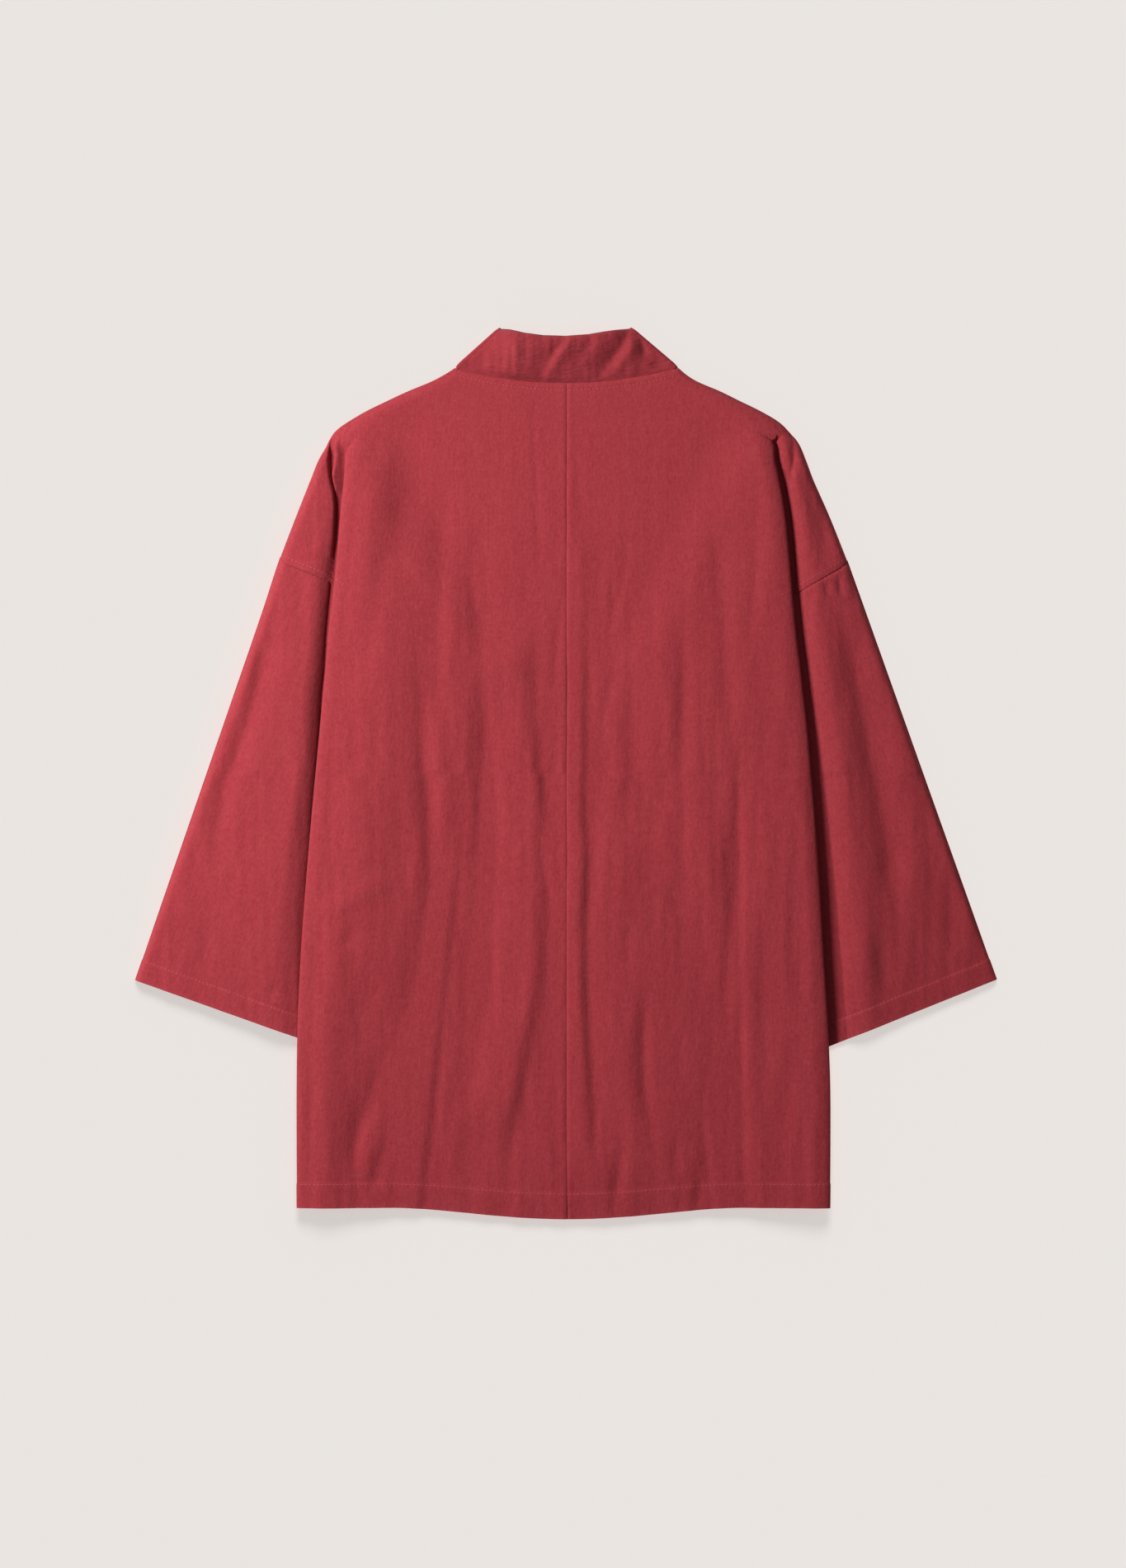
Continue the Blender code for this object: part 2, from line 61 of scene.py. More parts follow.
# %% Camera straight above the jacket
MM = 0.001
PICTURE_HEIGHT = 1900 * 0.70 * MM
PICTURE_CENTRE = (-3.15 * MM, -8.75 * MM)
SENSOR = 36.0
LENS = 110.0


def place_camera():
    data = bpy.data.cameras.new("lens")
    data.lens = LENS
    data.sensor_width = SENSOR
    camera = bpy.data.objects.new("lens", data)
    distance = PICTURE_HEIGHT / 2 / math.tan(math.atan(SENSOR / 2 / LENS))
    camera.location = (*PICTURE_CENTRE, distance)
    bpy.context.scene.collection.objects.link(camera)
    bpy.context.scene.camera = camera
    return distance


bpy.context.scene.view_settings.view_transform = "Standard"
print("camera height in metres:", round(place_camera(), 3))

# %% [markdown]
# ## The table and the light
# The table is pale and plain, and evenly lit. A soft box at the upper left draws the creases, and weak
# daylight fills them. One lamp could light everything, but it would also grade the table, so light linking
# lets the soft box shine on the jacket alone. Sunlight from beyond the collar gives the table its soft
# shadow below the hems.

# %% Helpers for pieces and plain materials
def make_piece(name, mesh, material, lit):
    """Turn a finished bmesh into a smooth piece of the scene, lit as its collection is."""
    data = bpy.data.meshes.new(name)
    mesh.to_mesh(data)
    mesh.free()
    data.polygons.foreach_set("use_smooth", [True] * len(data.polygons))
    data.materials.append(material)
    piece = bpy.data.objects.new(name, data)
    bpy.context.scene.collection.objects.link(piece)
    lit.objects.link(piece)
    return piece


def make_material(name, **constants):
    """A material with constants on its shader's sockets. An underscore stands for a space in a name."""
    material = bpy.data.materials.new(name)
    material.use_nodes = True
    shader = material.node_tree.nodes["Principled BSDF"]
    for socket, value in constants.items():
        shader.inputs[socket.replace("_", " ")].default_value = value
    return material


jacket_only = bpy.data.collections.new("lit by the soft box")
table_only = bpy.data.collections.new("lit by the table lamps")
print("collections for the light:", jacket_only.name, "and", table_only.name)

# %% Table
TABLE_COLOUR = (0.80, 0.765, 0.735, 1.0)
TABLE_HALF_WIDTH = 6.0
TABLE_GAP = 0.3 * MM


def lay_table():
    mesh = bmesh.new()
    bmesh.ops.create_grid(mesh, x_segments=2, y_segments=2, size=TABLE_HALF_WIDTH)
    bmesh.ops.translate(mesh, verts=mesh.verts, vec=(0.0, 0.0, -TABLE_GAP))
    pale = make_material("pale table", Base_Color=TABLE_COLOUR, Roughness=0.9)
    table = make_piece("table", mesh, pale, table_only)
    return table


print("table laid:", lay_table().dimensions.x, "metres wide")

# %% Lamps
DAYLIGHT = 0.14
DAYLIGHT_COLOUR = (1.0, 0.99, 0.975, 1.0)
SOFT_BOX_PLACE = (-1.20, 0.62, 1.20)
SOFT_BOX_POWER = 41.5
SOFT_BOX_SIZE = 0.75
TABLE_LIGHT = 2.13
FAR_SUN_PLACE = (0.0, 3.0, 2.1)
FAR_SUN_LIGHT = 1.10
FAR_SUN_SPREAD = math.radians(24)


def even_daylight():
    world = bpy.data.worlds.new("even daylight")
    world.use_nodes = True
    background = world.node_tree.nodes["Background"]
    background.inputs["Color"].default_value = DAYLIGHT_COLOUR
    background.inputs["Strength"].default_value = DAYLIGHT
    bpy.context.scene.world = world


def lamp(name, kind, power, place, lit, **settings):
    """A lamp that points at the middle of the table and lights one collection only."""
    data = bpy.data.lights.new(name, kind)
    data.energy = power
    for setting, value in settings.items():
        setattr(data, setting, value)
    holder = bpy.data.objects.new(name, data)
    holder.location = place
    holder.rotation_euler = (-Vector(place)).to_track_quat("-Z", "Y").to_euler()
    bpy.context.scene.collection.objects.link(holder)
    holder.light_linking.receiver_collection = lit
    return holder


even_daylight()
lamp("soft box", "AREA", SOFT_BOX_POWER, SOFT_BOX_PLACE, jacket_only, shape="DISK", size=SOFT_BOX_SIZE)
lamp("even table light", "SUN", TABLE_LIGHT, (0.0, 0.0, 3.0), table_only, use_shadow=False)
lamp("sun beyond the collar", "SUN", FAR_SUN_LIGHT, FAR_SUN_PLACE, table_only, angle=FAR_SUN_SPREAD)
print("lamps:", len(bpy.data.lights))

# %% [markdown]
# ## The cloth
# The cloth is a plain weave of linen and cotton. Its threads are uneven: thick places, called slubs, make
# short pale streaks along the warp, and washing has left it softly crinkled and mottled. An image could
# show that, but noise stretched along the threads never repeats. One node group makes the tone, the
# roughness and the height of the weave from the cloth's own coordinates, in metres across and along it, so
# the grain follows every fold.

# %% Node helpers
def add_node(tree, kind, **inputs):
    node = tree.nodes.new(kind)
    for name, value in inputs.items():
        node.inputs[name.replace("_", " ")].default_value = value
    return node


def add_sum(tree, terms, start=0.0):
    """Add up pairs of an output and its weight."""
    total = None
    for output, weight in terms:
        step = tree.nodes.new("ShaderNodeMath")
        step.operation = "MULTIPLY_ADD"
        tree.links.new(output, step.inputs[0])
        step.inputs[1].default_value = weight
        if total is None:
            step.inputs[2].default_value = start
        else:
            tree.links.new(total, step.inputs[2])
        total = step.outputs[0]
    return total


def times(tree, first, second):
    step = tree.nodes.new("ShaderNodeMath")
    step.operation = "MULTIPLY"
    tree.links.new(first, step.inputs[0])
    tree.links.new(second, step.inputs[1])
    return step.outputs[0]


def streaks(tree, place, across, along, detail):
    """Noise between -0.5 and 0.5 whose marks are so many millimetres across and along the cloth."""
    mapping = tree.nodes.new("ShaderNodeMapping")
    mapping.inputs["Scale"].default_value = (1000.0 / across, 1000.0 / along, 1.0)
    tree.links.new(place, mapping.inputs["Vector"])
    marks = add_node(tree, "ShaderNodeTexNoise", Scale=1.0, Detail=detail, Roughness=0.55)
    tree.links.new(mapping.outputs[0], marks.inputs["Vector"])
    return add_sum(tree, [(marks.outputs["Fac"], 1.0)], -0.5)


def threads(tree, place, pitch):
    """Height of the crossing threads, between -1 and 1."""
    parts = tree.nodes.new("ShaderNodeSeparateXYZ")
    tree.links.new(place, parts.inputs[0])
    waves = []
    for axis in ("X", "Y"):
        wave = tree.nodes.new("ShaderNodeMath")
        wave.operation = "SINE"
        tree.links.new(add_sum(tree, [(parts.outputs[axis], 2.0 * math.pi / pitch)]), wave.inputs[0])
        waves.append(wave.outputs[0])
    return times(tree, *waves)


# %% Weave node group
THREAD_PITCH = 1.1 * MM
# columns: marks, millimetres across, millimetres along, detail
CLOTH_MARKS = (
    ("warp slubs", 1.2, 11.0, 2.0), ("weft slubs", 9.0, 1.2, 2.0), ("stripes", 6.0, 90.0, 3.0),
    ("mottle", 2.4, 3.2, 2.0), ("blotches", 6.0, 9.0, 3.0), ("clouds", 40.0, 60.0, 2.0),
    ("crinkle", 3.0, 8.0, 4.0),
)


def weave_group():
    group = bpy.data.node_groups.new("slubbed weave", "ShaderNodeTree")
    for name, kind in (("Cloth place", "Vector"), ("Slub", "Float"), ("Crinkle", "Float")):
        group.interface.new_socket(name, in_out="INPUT", socket_type="NodeSocket" + kind)
    for name in ("Tone", "Roughness", "Height"):
        group.interface.new_socket(name, in_out="OUTPUT", socket_type="NodeSocketFloat")
    start = group.nodes.new("NodeGroupInput")
    end = group.nodes.new("NodeGroupOutput")
    place = start.outputs["Cloth place"]
    marks = {name: streaks(group, place, *shape) for name, *shape in CLOTH_MARKS}
    slubs = add_sum(group, [(marks["warp slubs"], 1.0), (marks["weft slubs"], 0.55)])
    strong = times(group, slubs, start.outputs["Slub"])
    washed = times(group, marks["crinkle"], start.outputs["Crinkle"])
    tone = [(strong, 0.45), (marks["stripes"], 0.25), (marks["mottle"], 0.80), (marks["blotches"], 0.45)]
    roughness = [(slubs, 0.12), (marks["mottle"], 0.10)]
    weave = threads(group, place, THREAD_PITCH)
    height = [(weave, 0.03), (slubs, 0.08), (washed, 0.42), (marks["mottle"], 0.12)]
    group.links.new(add_sum(group, tone + [(marks["clouds"], 0.2)], 0.5), end.inputs["Tone"])
    group.links.new(add_sum(group, roughness, 0.86), end.inputs["Roughness"])
    group.links.new(add_sum(group, height), end.inputs["Height"])
    return group


weave_nodes = weave_group()
print("weave group nodes:", len(weave_nodes.nodes))

# %% [markdown]
# The dye is one brick red. Where the cloth has been rubbed, at hems, folds and seams, it is a little paler,
# so each piece carries an attribute named rubbed, from 0 to 1, that the material reads. Painting an image
# would do the same, but an attribute stays true when a fold is moved.

# %% Red cloth and red thread
DEEP_RED = (0.288, 0.016, 0.026)
PALE_RED = (0.432, 0.053, 0.065)
RUBBED_RED = (0.480, 0.075, 0.090, 1.0)
THREAD_RED = (0.540, 0.105, 0.115, 1.0)


def add_bump(tree, height, strength, distance):
    bump = add_node(tree, "ShaderNodeBump", Strength=strength, Distance=distance)
    tree.links.new(height, bump.inputs["Height"])
    tree.links.new(bump.outputs[0], tree.nodes["Principled BSDF"].inputs["Normal"])


def cloth_material(name, slub, crinkle, painted_shade_factor=1.0):
    material = make_material(name, Sheen_Weight=0.05, Sheen_Roughness=0.6, Specular_IOR_Level=0.15)
    tree = material.node_tree
    shader = tree.nodes["Principled BSDF"]
    cut = tree.nodes.new("ShaderNodeUVMap")
    cut.uv_map = "cut"
    weave = tree.nodes.new("ShaderNodeGroup")
    weave.node_tree = weave_nodes
    weave.inputs["Slub"].default_value = slub
    weave.inputs["Crinkle"].default_value = crinkle
    tree.links.new(cut.outputs[0], weave.inputs["Cloth place"])
    dye = tree.nodes.new("ShaderNodeMix")
    dye.data_type = "RGBA"
    # Both reds are scaled by the last argument; below 1 this is painted shade, a darker copy of the same
    # cloth.
    for socket, red in (("A", DEEP_RED), ("B", PALE_RED)):
        dye.inputs[socket].default_value = [value * painted_shade_factor for value in red] + [1.0]
    tree.links.new(weave.outputs["Tone"], dye.inputs["Factor"])
    rubbed = tree.nodes.new("ShaderNodeAttribute")
    rubbed.attribute_name = "rubbed"
    faded = tree.nodes.new("ShaderNodeMix")
    faded.data_type = "RGBA"
    faded.inputs["B"].default_value = RUBBED_RED
    tree.links.new(rubbed.outputs["Fac"], faded.inputs["Factor"])
    tree.links.new(dye.outputs["Result"], faded.inputs["A"])
    tree.links.new(faded.outputs["Result"], shader.inputs["Base Color"])
    tree.links.new(weave.outputs["Roughness"], shader.inputs["Roughness"])
    add_bump(tree, weave.outputs["Height"], 1.0, MM)
    return material


def thread_material():
    material = make_material("red sewing thread", Base_Color=THREAD_RED, Roughness=0.6)
    tree = material.node_tree
    place = tree.nodes.new("ShaderNodeTexCoord")
    fibres = add_node(tree, "ShaderNodeTexNoise", Scale=2600.0, Detail=1.0)
    tree.links.new(place.outputs["Object"], fibres.inputs["Vector"])
    add_bump(tree, fibres.outputs["Fac"], 0.6, 0.1 * MM)
    return material


body_cloth = cloth_material("red linen-cotton of the body", 1.0, 0.9)
sleeve_cloth = cloth_material("red linen-cotton of the sleeves", 0.9, 0.7)
# The neckband's reds are darkened to 0.86 as painted shade, for the shade that falls on the standing band.
band_cloth = cloth_material("red linen-cotton of the neckband", 1.0, 2.4, painted_shade_factor=0.86)
thread = thread_material()
print("materials:", body_cloth.name, sleeve_cloth.name, band_cloth.name, thread.name)

# %% [markdown]
# ## How the jacket lies
# Every piece is laid out from a few tables, in millimetres from the middle of the jacket: +y runs up to the
# collar, and distances across are from the centre back. The body's sides are folded under. From the centre
# back a panel runs out to its side fold, back in to the tuck, and above the underarm out again as the
# dropped shoulder. A cloth simulation could fold it, but wouldn't put the folds where this jacket has them.

# %% Sizes in millimetres
NECK_SEAM_Y = 343.5
NECK_DIP = 12.8
NECK_HALF_WIDTH = 94.5
ARMHOLE_TOP_Y = 178.2
UNDERARM_X = 81.2
UNDERARM_Y = 87.9
BACK_HEM_Y = -367.6
BACK_HEM_DIP = 9.8
BACK_HEM_DIP_REACH = 150.0
FRONT_HEM_Y = -363.6
HEM_DEPTH = 20.0
SLEEVE_HEM_DEPTH = 17.5
NECK_STITCH_DEPTH = 5.6
FRONT_FOLD_INSET = 14.0
FRONT_FOLD_INSET_AT_CORNER = 6.0
CLOTH = 0.9
LAYER = 1.3
BED_HEIGHT = 5.0
SIDE_ROLL = 12.0
SLEEVE_WIDTH_AT_HEM = 200.0
UNDERARM_INSET = 3.6
NECKBAND_WIDTH = 41.5
NECKBAND_SEAM_BELOW_CHEST = 62.0


def level(number):
    """Height of the middle of the cloth in a stack of layers, the lowest being number 0."""
    return CLOTH / 2 + number * LAYER


print("heights of the stacked layers:", [round(level(n), 2) for n in range(5)])

# %% Side folds, tucks and outlines
# columns: y, side fold, tuck or side seam, and down to the armhole the shoulder's outer edge
LEFT_FOLDS = (
    (343.5, 87.5, 97.5, 94.5), (338.1, 96.0, 106.0, 103.0), (332.5, 106.5, 116.5, 113.5),
    (324.1, 126.8, 136.8, 133.8), (315.7, 145.0, 155.0, 152.0), (304.5, 166.4, 176.4, 174.4),
    (296.1, 177.5, 187.5, 188.2), (290.5, 182.5, 191.0, 195.3), (283.5, 185.0, 190.0, 200.4),
    (277.0, 186.2, 187.2, 203.6), (267.0, 187.0, 181.5, 209.4), (250.0, 188.2, 174.0, 216.4),
    (224.0, 190.9, 163.0, 226.6), (178.2, 194.8, 136.7, 243.2), (152.0, 197.6, 120.6),
    (120.6, 201.4, 101.3), (87.9, 204.0, 79.4), (71.0, 205.8, 83.0),
    (47.0, 207.9, 85.7), (-9.0, 213.2, 92.0), (-79.0, 219.4, 100.0),
    (-156.0, 225.0, 108.8), (-215.0, 227.6, 115.5), (-262.0, 228.3, 121.0),
    (-315.0, 228.3, 127.0), (-367.6, 228.0, 132.7),
)
RIGHT_FOLDS = (
    (343.5, 87.5, 97.5, 94.5), (338.1, 93.8, 103.8, 100.8), (332.5, 102.6, 112.6, 109.6),
    (324.1, 122.4, 132.4, 129.4), (315.7, 139.4, 149.4, 146.4), (307.3, 156.6, 166.6, 163.6),
    (297.8, 166.0, 175.5, 179.8), (289.5, 169.5, 176.0, 188.8), (280.0, 174.4, 171.0, 196.2),
    (266.5, 175.6, 164.0, 202.2), (250.0, 179.0, 157.0, 208.4), (224.0, 183.6, 144.0, 220.0),
    (178.2, 188.4, 123.5, 238.4), (152.0, 190.6, 111.6), (120.6, 193.6, 96.6),
    (87.9, 197.6, 79.4), (71.0, 199.4, 83.0), (47.0, 202.2, 85.7),
    (-9.0, 207.2, 92.0), (-79.0, 212.6, 100.0), (-156.0, 217.2, 108.8),
    (-215.0, 220.8, 115.5), (-262.0, 222.6, 121.0), (-315.0, 222.8, 127.0),
    (-367.6, 222.4, 132.7),
)
# the dark gap beside the side fold, columns: y, how far it reaches beyond the fold
LEFT_GAP = (
    (300.0, 10.0), (285.0, 12.8), (264.0, 14.2), (250.0, 11.6), (236.0, 7.0), (222.0, 4.8), (208.0, 3.9),
    (180.0, 3.4), (120.0, 2.4), (40.0, 0.8), (0.0, -0.6), (-60.0, -1.4), (-380.0, -1.6),
)
RIGHT_GAP = (
    (300.0, 2.0), (280.0, 3.4), (255.0, 5.0), (178.0, 5.4), (90.0, 6.4), (0.0, 9.4), (-86.0, 13.0),
    (-150.0, 15.6),
    (-380.0, 16.0),
)
# the soft roll beyond the gap, columns: y, how wide it is, how high it is, how much of it is a steep wall
LEFT_ROLL = (
    (300.0, 10.0, 6.5, 0.9), (250.0, 12.0, 7.6, 0.9), (225.0, 13.0, 8.2, 0.85), (200.0, 15.0, 8.6, 0.6),
    (178.0, 17.0, 8.8, 0.4), (120.0, 16.0, 10.0, 0.15), (80.0, 16.0, 11.2, 0.05), (30.0, 17.0, 11.4, 0.1),
    (-40.0, 21.0, 11.8, 0.2), (-120.0, 23.0, 12.0, 0.26), (-190.0, 26.0, 11.6, 0.42),
    (-380.0, 30.0, 11.6, 0.5),
)
RIGHT_ROLL = (
    (300.0, 6.0, 6.0, 0.4), (230.0, 13.0, 8.0, 0.2), (178.0, 17.0, 8.5, 0.1), (80.0, 20.0, 8.5, 0.0),
    (-40.0, 22.0, 8.8, 0.0), (-380.0, 24.0, 9.0, 0.0),
)
# columns: y, height beside the fold, height of the fold, height of the shoulder's edge
BODY_HEIGHTS = (
    (343.5, 5.0, 5.0, 3.0), (318.0, 6.0, 6.2, 2.0), (300.0, 7.2, 8.0, 1.8), (285.0, 8.2, 10.0, 1.8),
    (265.0, 9.0, 12.6, 1.8), (240.0, 9.4, 14.0, 1.8), (150.0, 9.6, 14.4, 1.8), (-380.0, 9.6, 14.4, 1.8),
)
print("rows for the left and right side folds:", len(LEFT_FOLDS), len(RIGHT_FOLDS))

# %% Smooth steps, marks and curves
def smooth(value):
    """An even step from 0 to 1."""
    value = np.clip(value, 0.0, 1.0)
    return value * value * (3.0 - 2.0 * value)


def mix(first, second, share):
    return first + (second - first) * share


def mark(distance, width):
    """1 on a line, and less and less on both sides of it."""
    return np.exp(-(distance / width) ** 2)


def fade(distance, reach):
    """1 at an edge, and less and less away from it."""
    return np.exp(-distance / reach)


def curve(rows, column):
    """A smooth curve through one column of a table whose first column is y, from top to bottom."""
    rows = [row for row in rows if len(row) > column][::-1]
    y = np.array([row[0] for row in rows])
    value = np.array([row[column] for row in rows])
    slope = np.gradient(value, y)

    def read(at):
        at = np.clip(at, y[0], y[-1])
        index = np.clip(np.searchsorted(y, at) - 1, 0, len(y) - 2)
        step = y[index + 1] - y[index]
        t = (at - y[index]) / step
        start = (1 + 2 * t) * (1 - t) ** 2 * value[index] + t * (1 - t) ** 2 * step * slope[index]
        return start + t * t * (3 - 2 * t) * value[index + 1] + t * t * (t - 1) * step * slope[index + 1]

    return read


shelf_curve, lip_curve, edge_curve = (curve(BODY_HEIGHTS, column) for column in (1, 2, 3))
print("the back's fold is", float(lip_curve(0.0)), "mm high")

# %% The two sides
WALL_REACH = 0.8
ROLL_POWER = 2.2
EDGE_ROUNDING = 7.0


class Side:
    """One half of the jacket: its folds, tuck and edges, and how its outer layer rises from the gap."""

    def __init__(self, name, sign, folds, gap, roll, hem_top, hem_angle, **shape):
        self.name = name
        self.sign = sign
        self.fold, self.tuck, self.shoulder = (curve(folds, column) for column in (1, 2, 3))
        self.gap = curve(gap, 1)
        self.roll_width, self.roll_height, self.roll_wall = (curve(roll, column) for column in (1, 2, 3))
        self.roll_tail = shape["roll_tail"]
        self.lowest_roll = shape["lowest_roll"]
        self.flap_slope = shape["flap_slope"]
        self.edge_drop = shape["edge_drop"]
        self.seam_pull = shape["seam_pull"]
        self.armhole_top = (float(self.shoulder(ARMHOLE_TOP_Y)), ARMHOLE_TOP_Y)
        self.hem_top = hem_top
        slope = math.radians(hem_angle)
        reach = (SLEEVE_WIDTH_AT_HEM * math.cos(slope), SLEEVE_WIDTH_AT_HEM * math.sin(slope))
        self.hem_under = (hem_top[0] - reach[0], hem_top[1] - reach[1])

    def edge(self, y):
        """The shoulder's outline, then the armhole down to the underarm."""
        share = (ARMHOLE_TOP_Y - y) / (ARMHOLE_TOP_Y - UNDERARM_Y)
        armhole = mix(self.armhole_top[0], UNDERARM_X, np.clip(share, 0.0, 1.0))
        return np.where(y >= ARMHOLE_TOP_Y, self.shoulder(y), armhole)

    def outline(self, y):
        """The shoulder's outline, then the sleeve's top fold."""
        share = (ARMHOLE_TOP_Y - y) / (ARMHOLE_TOP_Y - self.hem_top[1])
        sleeve = mix(self.armhole_top[0], self.hem_top[0], np.clip(share, 0.0, 1.0))
        return np.where(y >= ARMHOLE_TOP_Y, self.shoulder(y), sleeve)

    def underarm_fold(self, y):
        """Where the sleeve's lower fold lies inside the body."""
        share = np.clip((UNDERARM_Y - y) / (UNDERARM_Y - self.hem_under[1]), 0.0, 1.0)
        return mix(UNDERARM_X + UNDERARM_INSET, self.hem_under[0], share)

    def front_fold(self, y):
        """Side fold of the front, which lies further in than the back's."""
        return self.fold(y) - mix(FRONT_FOLD_INSET_AT_CORNER, FRONT_FOLD_INSET, smooth((265.0 - y) / 40.0))

    def raised(self, x, y):
        """1 where a layer lies on the tucked body, and 0 where it has come down to the table."""
        return 1.0 - smooth((x - self.front_fold(y)) / 12.0)

    def flap(self, x, y):
        """Height of the loose cloth that leans against the fold where the gap is widest."""
        gap = self.gap(y)
        across = np.clip((x - self.fold(y)) / np.maximum(gap, 0.1), 0.0, 1.0)
        crest_at = mix(0.8, 0.52, smooth((y - 250.0) / 20.0))
        crest = self.flap_slope * crest_at * gap * smooth((gap - 5.0) / 4.0)
        rise = np.clip(across / crest_at, 0.0, 1.0)
        return crest * rise * (1.0 - smooth((across - np.maximum(crest_at, 0.62)) / 0.14))

    def lift(self, x, y):
        """How the layer beside the body rises out of the gap in a soft roll, and rounds down at its edge."""
        beyond = x - self.fold(y) - self.gap(y)
        width = self.roll_width(y)
        soft = 1.0 - (1.0 - np.clip(beyond / width, 0.0, 1.0)) ** ROLL_POWER
        steep = 1.0 - fade(np.clip(beyond, 0.0, None), WALL_REACH)
        past_roll = fade(np.clip(beyond - width, 0.0, None), self.roll_tail)
        crest = mix(self.lowest_roll, self.roll_height(y), past_roll)
        to_edge = np.clip((self.outline(y) - x) / EDGE_ROUNDING, 0.0, 1.0)
        rounded = np.sqrt(1.0 - (1.0 - to_edge) ** 2)
        return crest * mix(soft, steep, self.roll_wall(y)) * rounded + self.flap(x, y)


LEFT = Side(
    "left", -1, LEFT_FOLDS, LEFT_GAP, LEFT_ROLL, hem_top=(365.3, -175.2), hem_angle=19.5,
    roll_tail=52.0, lowest_roll=7.0, flap_slope=0.6, edge_drop=2.4, seam_pull=8.0)
RIGHT = Side(
    "right", 1, RIGHT_FOLDS, RIGHT_GAP, RIGHT_ROLL, hem_top=(364.2, -174.6), hem_angle=21.8,
    roll_tail=34.0, lowest_roll=3.4, flap_slope=0.0, edge_drop=0.4, seam_pull=0.0)
print("side folds at the hem:", float(LEFT.fold(BACK_HEM_Y)), float(RIGHT.fold(BACK_HEM_Y)))

# %% [markdown]
# ## Creases
# Washed linen-cotton keeps soft creases. Each one is placed with its own path, widths, height and
# sharpness: a minus height is a trough. Noise alone would crease the cloth anywhere, so it only adds the
# small unevenness along each crease and the fine crinkle between them.

# %% Creases of the back
# columns: path of (x, y) from the top down, width to its left, width to its right, height, sharpness
BACK_CREASES = (
    (((-104, 243), (-107, 166), (-110, 96), (-108, 47)), 9, 8, -1.3, 2.0),
    (((-75, 208), (-73, 96), (-68, 26), (-66, -44), (-68, -114), (-74, -170), (-80, -226),
      (-88, -282)), 9, 10, -1.8, 1.7),
    (((-40, 124), (-38, 47), (-28, -16), (-27, -114), (-31, -184), (-46, -254),
      (-54, -310)), 24, 10, 2.0, 2.0),
    (((-150, 30), (-152, -60), (-156, -150), (-160, -190)), 24, 26, 1.3, 2.0),
    (((40, -40), (46, -160), (50, -280), (54, -372)), 60, 90, 2.6, 2.0),
    (((-126, 124), (-119, -16), (-113, -79), (-114, -135), (-117, -184)), 8, 9, -1.5, 1.8),
    (((-149, -240), (-170, -289), (-184, -331)), 9, 7, -2.2, 1.6),
    (((-131, -296), (-157, -329), (-168, -359)), 7, 6, -1.7, 1.6),
    (((-178, -128), (-190, -149)), 6, 6, -0.8, 2.0),
    (((-152, -86), (-201, -121)), 10, 10, 0.8, 2.0),
    (((-141, 236), (-139, 208)), 6, 8, -0.5, 2.0),
    (((-162, 245), (-163, 200)), 12, 12, 0.5, 2.0),
    (((-153, 201), (-167, 110), (-176, 82)), 12, 10, -1.0, 2.0),
    (((-163, 278), (-161, 257)), 8, 8, -0.6, 2.0),
    (((-30, 327), (-28, 285), (-24, 208), (-22, 166)), 2.2, 2.6, -0.45, 1.3),
    (((-2, 173), (-6, 124), (-15, 47)), 2.4, 3, -0.5, 1.4),
    (((-26, -44), (-17, -86), (-13, -128)), 4, 4, -0.7, 1.6),
    (((-22, 40), (-21, -44)), 4, 5, -0.6, 1.8),
    (((-33, -247), (-43, -289), (-48, -338)), 6, 6, -0.9, 1.8),
    (((-117, -254), (-118, -338)), 5, 6, -0.8, 1.8),
    (((11, 208), (11, 26), (11, -184), (16, -275), (20, -338)), 7, 4, 0.9, 1.8),
    (((19, 96), (18, -44), (18, -184), (22, -254), (25, -324)), 4, 8, -0.9, 1.6),
    (((8, 278), (14, 208)), 2.4, 2.6, -0.4, 1.4),
    (((18, 110), (20, 40)), 2.4, 2.8, -0.5, 1.4),
    (((43, 103), (34, 61), (25, 5)), 3, 3, -0.6, 1.4),
    (((38.5, 170), (38.5, 133)), 2.4, 2.4, -0.6, 1.4),
    (((51, 208), (48, 166), (39, 131), (36, 96)), 2.8, 3, -0.7, 1.4),
    (((45, 96), (43, -44)), 7, 6, 0.8, 2.0),
    (((100, 110), (97, -16), (100, -72)), 7, 6, -1.2, 1.7),
    (((88, -93), (96, -121)), 4, 4, -0.6, 1.6),
    (((127, 222), (130, 166), (132, 110), (135, 40)), 8, 9, -0.9, 2.0),
    (((164, 257), (160, 180), (155, 110)), 4, 5, -0.9, 1.5),
    (((147, 26), (148, -184), (151, -366)), 8, 2.4, -1.5, 1.25),
    (((142, -44), (141, -107), (137, -170), (132, -219), (128, -275), (124, -317),
      (118, -352)), 9, 7, -1.3, 1.8),
    (((69, -184), (64, -226), (67, -275), (74, -310)), 6, 6, -1.0, 1.8),
    (((52, -128), (52, -170)), 4, 4, -0.7, 1.8),
    (((46, -317), (43, -352), (38, -369)), 4, 4, -0.8, 1.6),
    (((92, -310), (92, -341)), 4, 4, -0.7, 1.6),
    (((113, -345), (113, -367)), 3, 3, -0.6, 1.6),
    (((178, -275), (177, -324)), 8, 8, -0.5, 2.0),
)
SHOULDER_CREASES = (
    (((188, 296), (193, 275), (191, 254), (187, 243)), 3.0, 3.4, -1.8, 1.5),
    (((206, 250), (214, 229), (219, 205), (221, 180)), 9, 10, -1.7, 2.0),
    (((-216, 236), (-222, 214), (-232, 190)), 9, 9, 0.7, 2.0),
    (((-212, 206), (-216, 186)), 4, 5, -0.5, 1.8),
)
print("creases placed on the back:", len(BACK_CREASES), "and on the shoulders:", len(SHOULDER_CREASES))

# %% Height of creases and crinkle
CREASE_DEPTH = 1.35
CRINKLE_DEPTH = 1.95


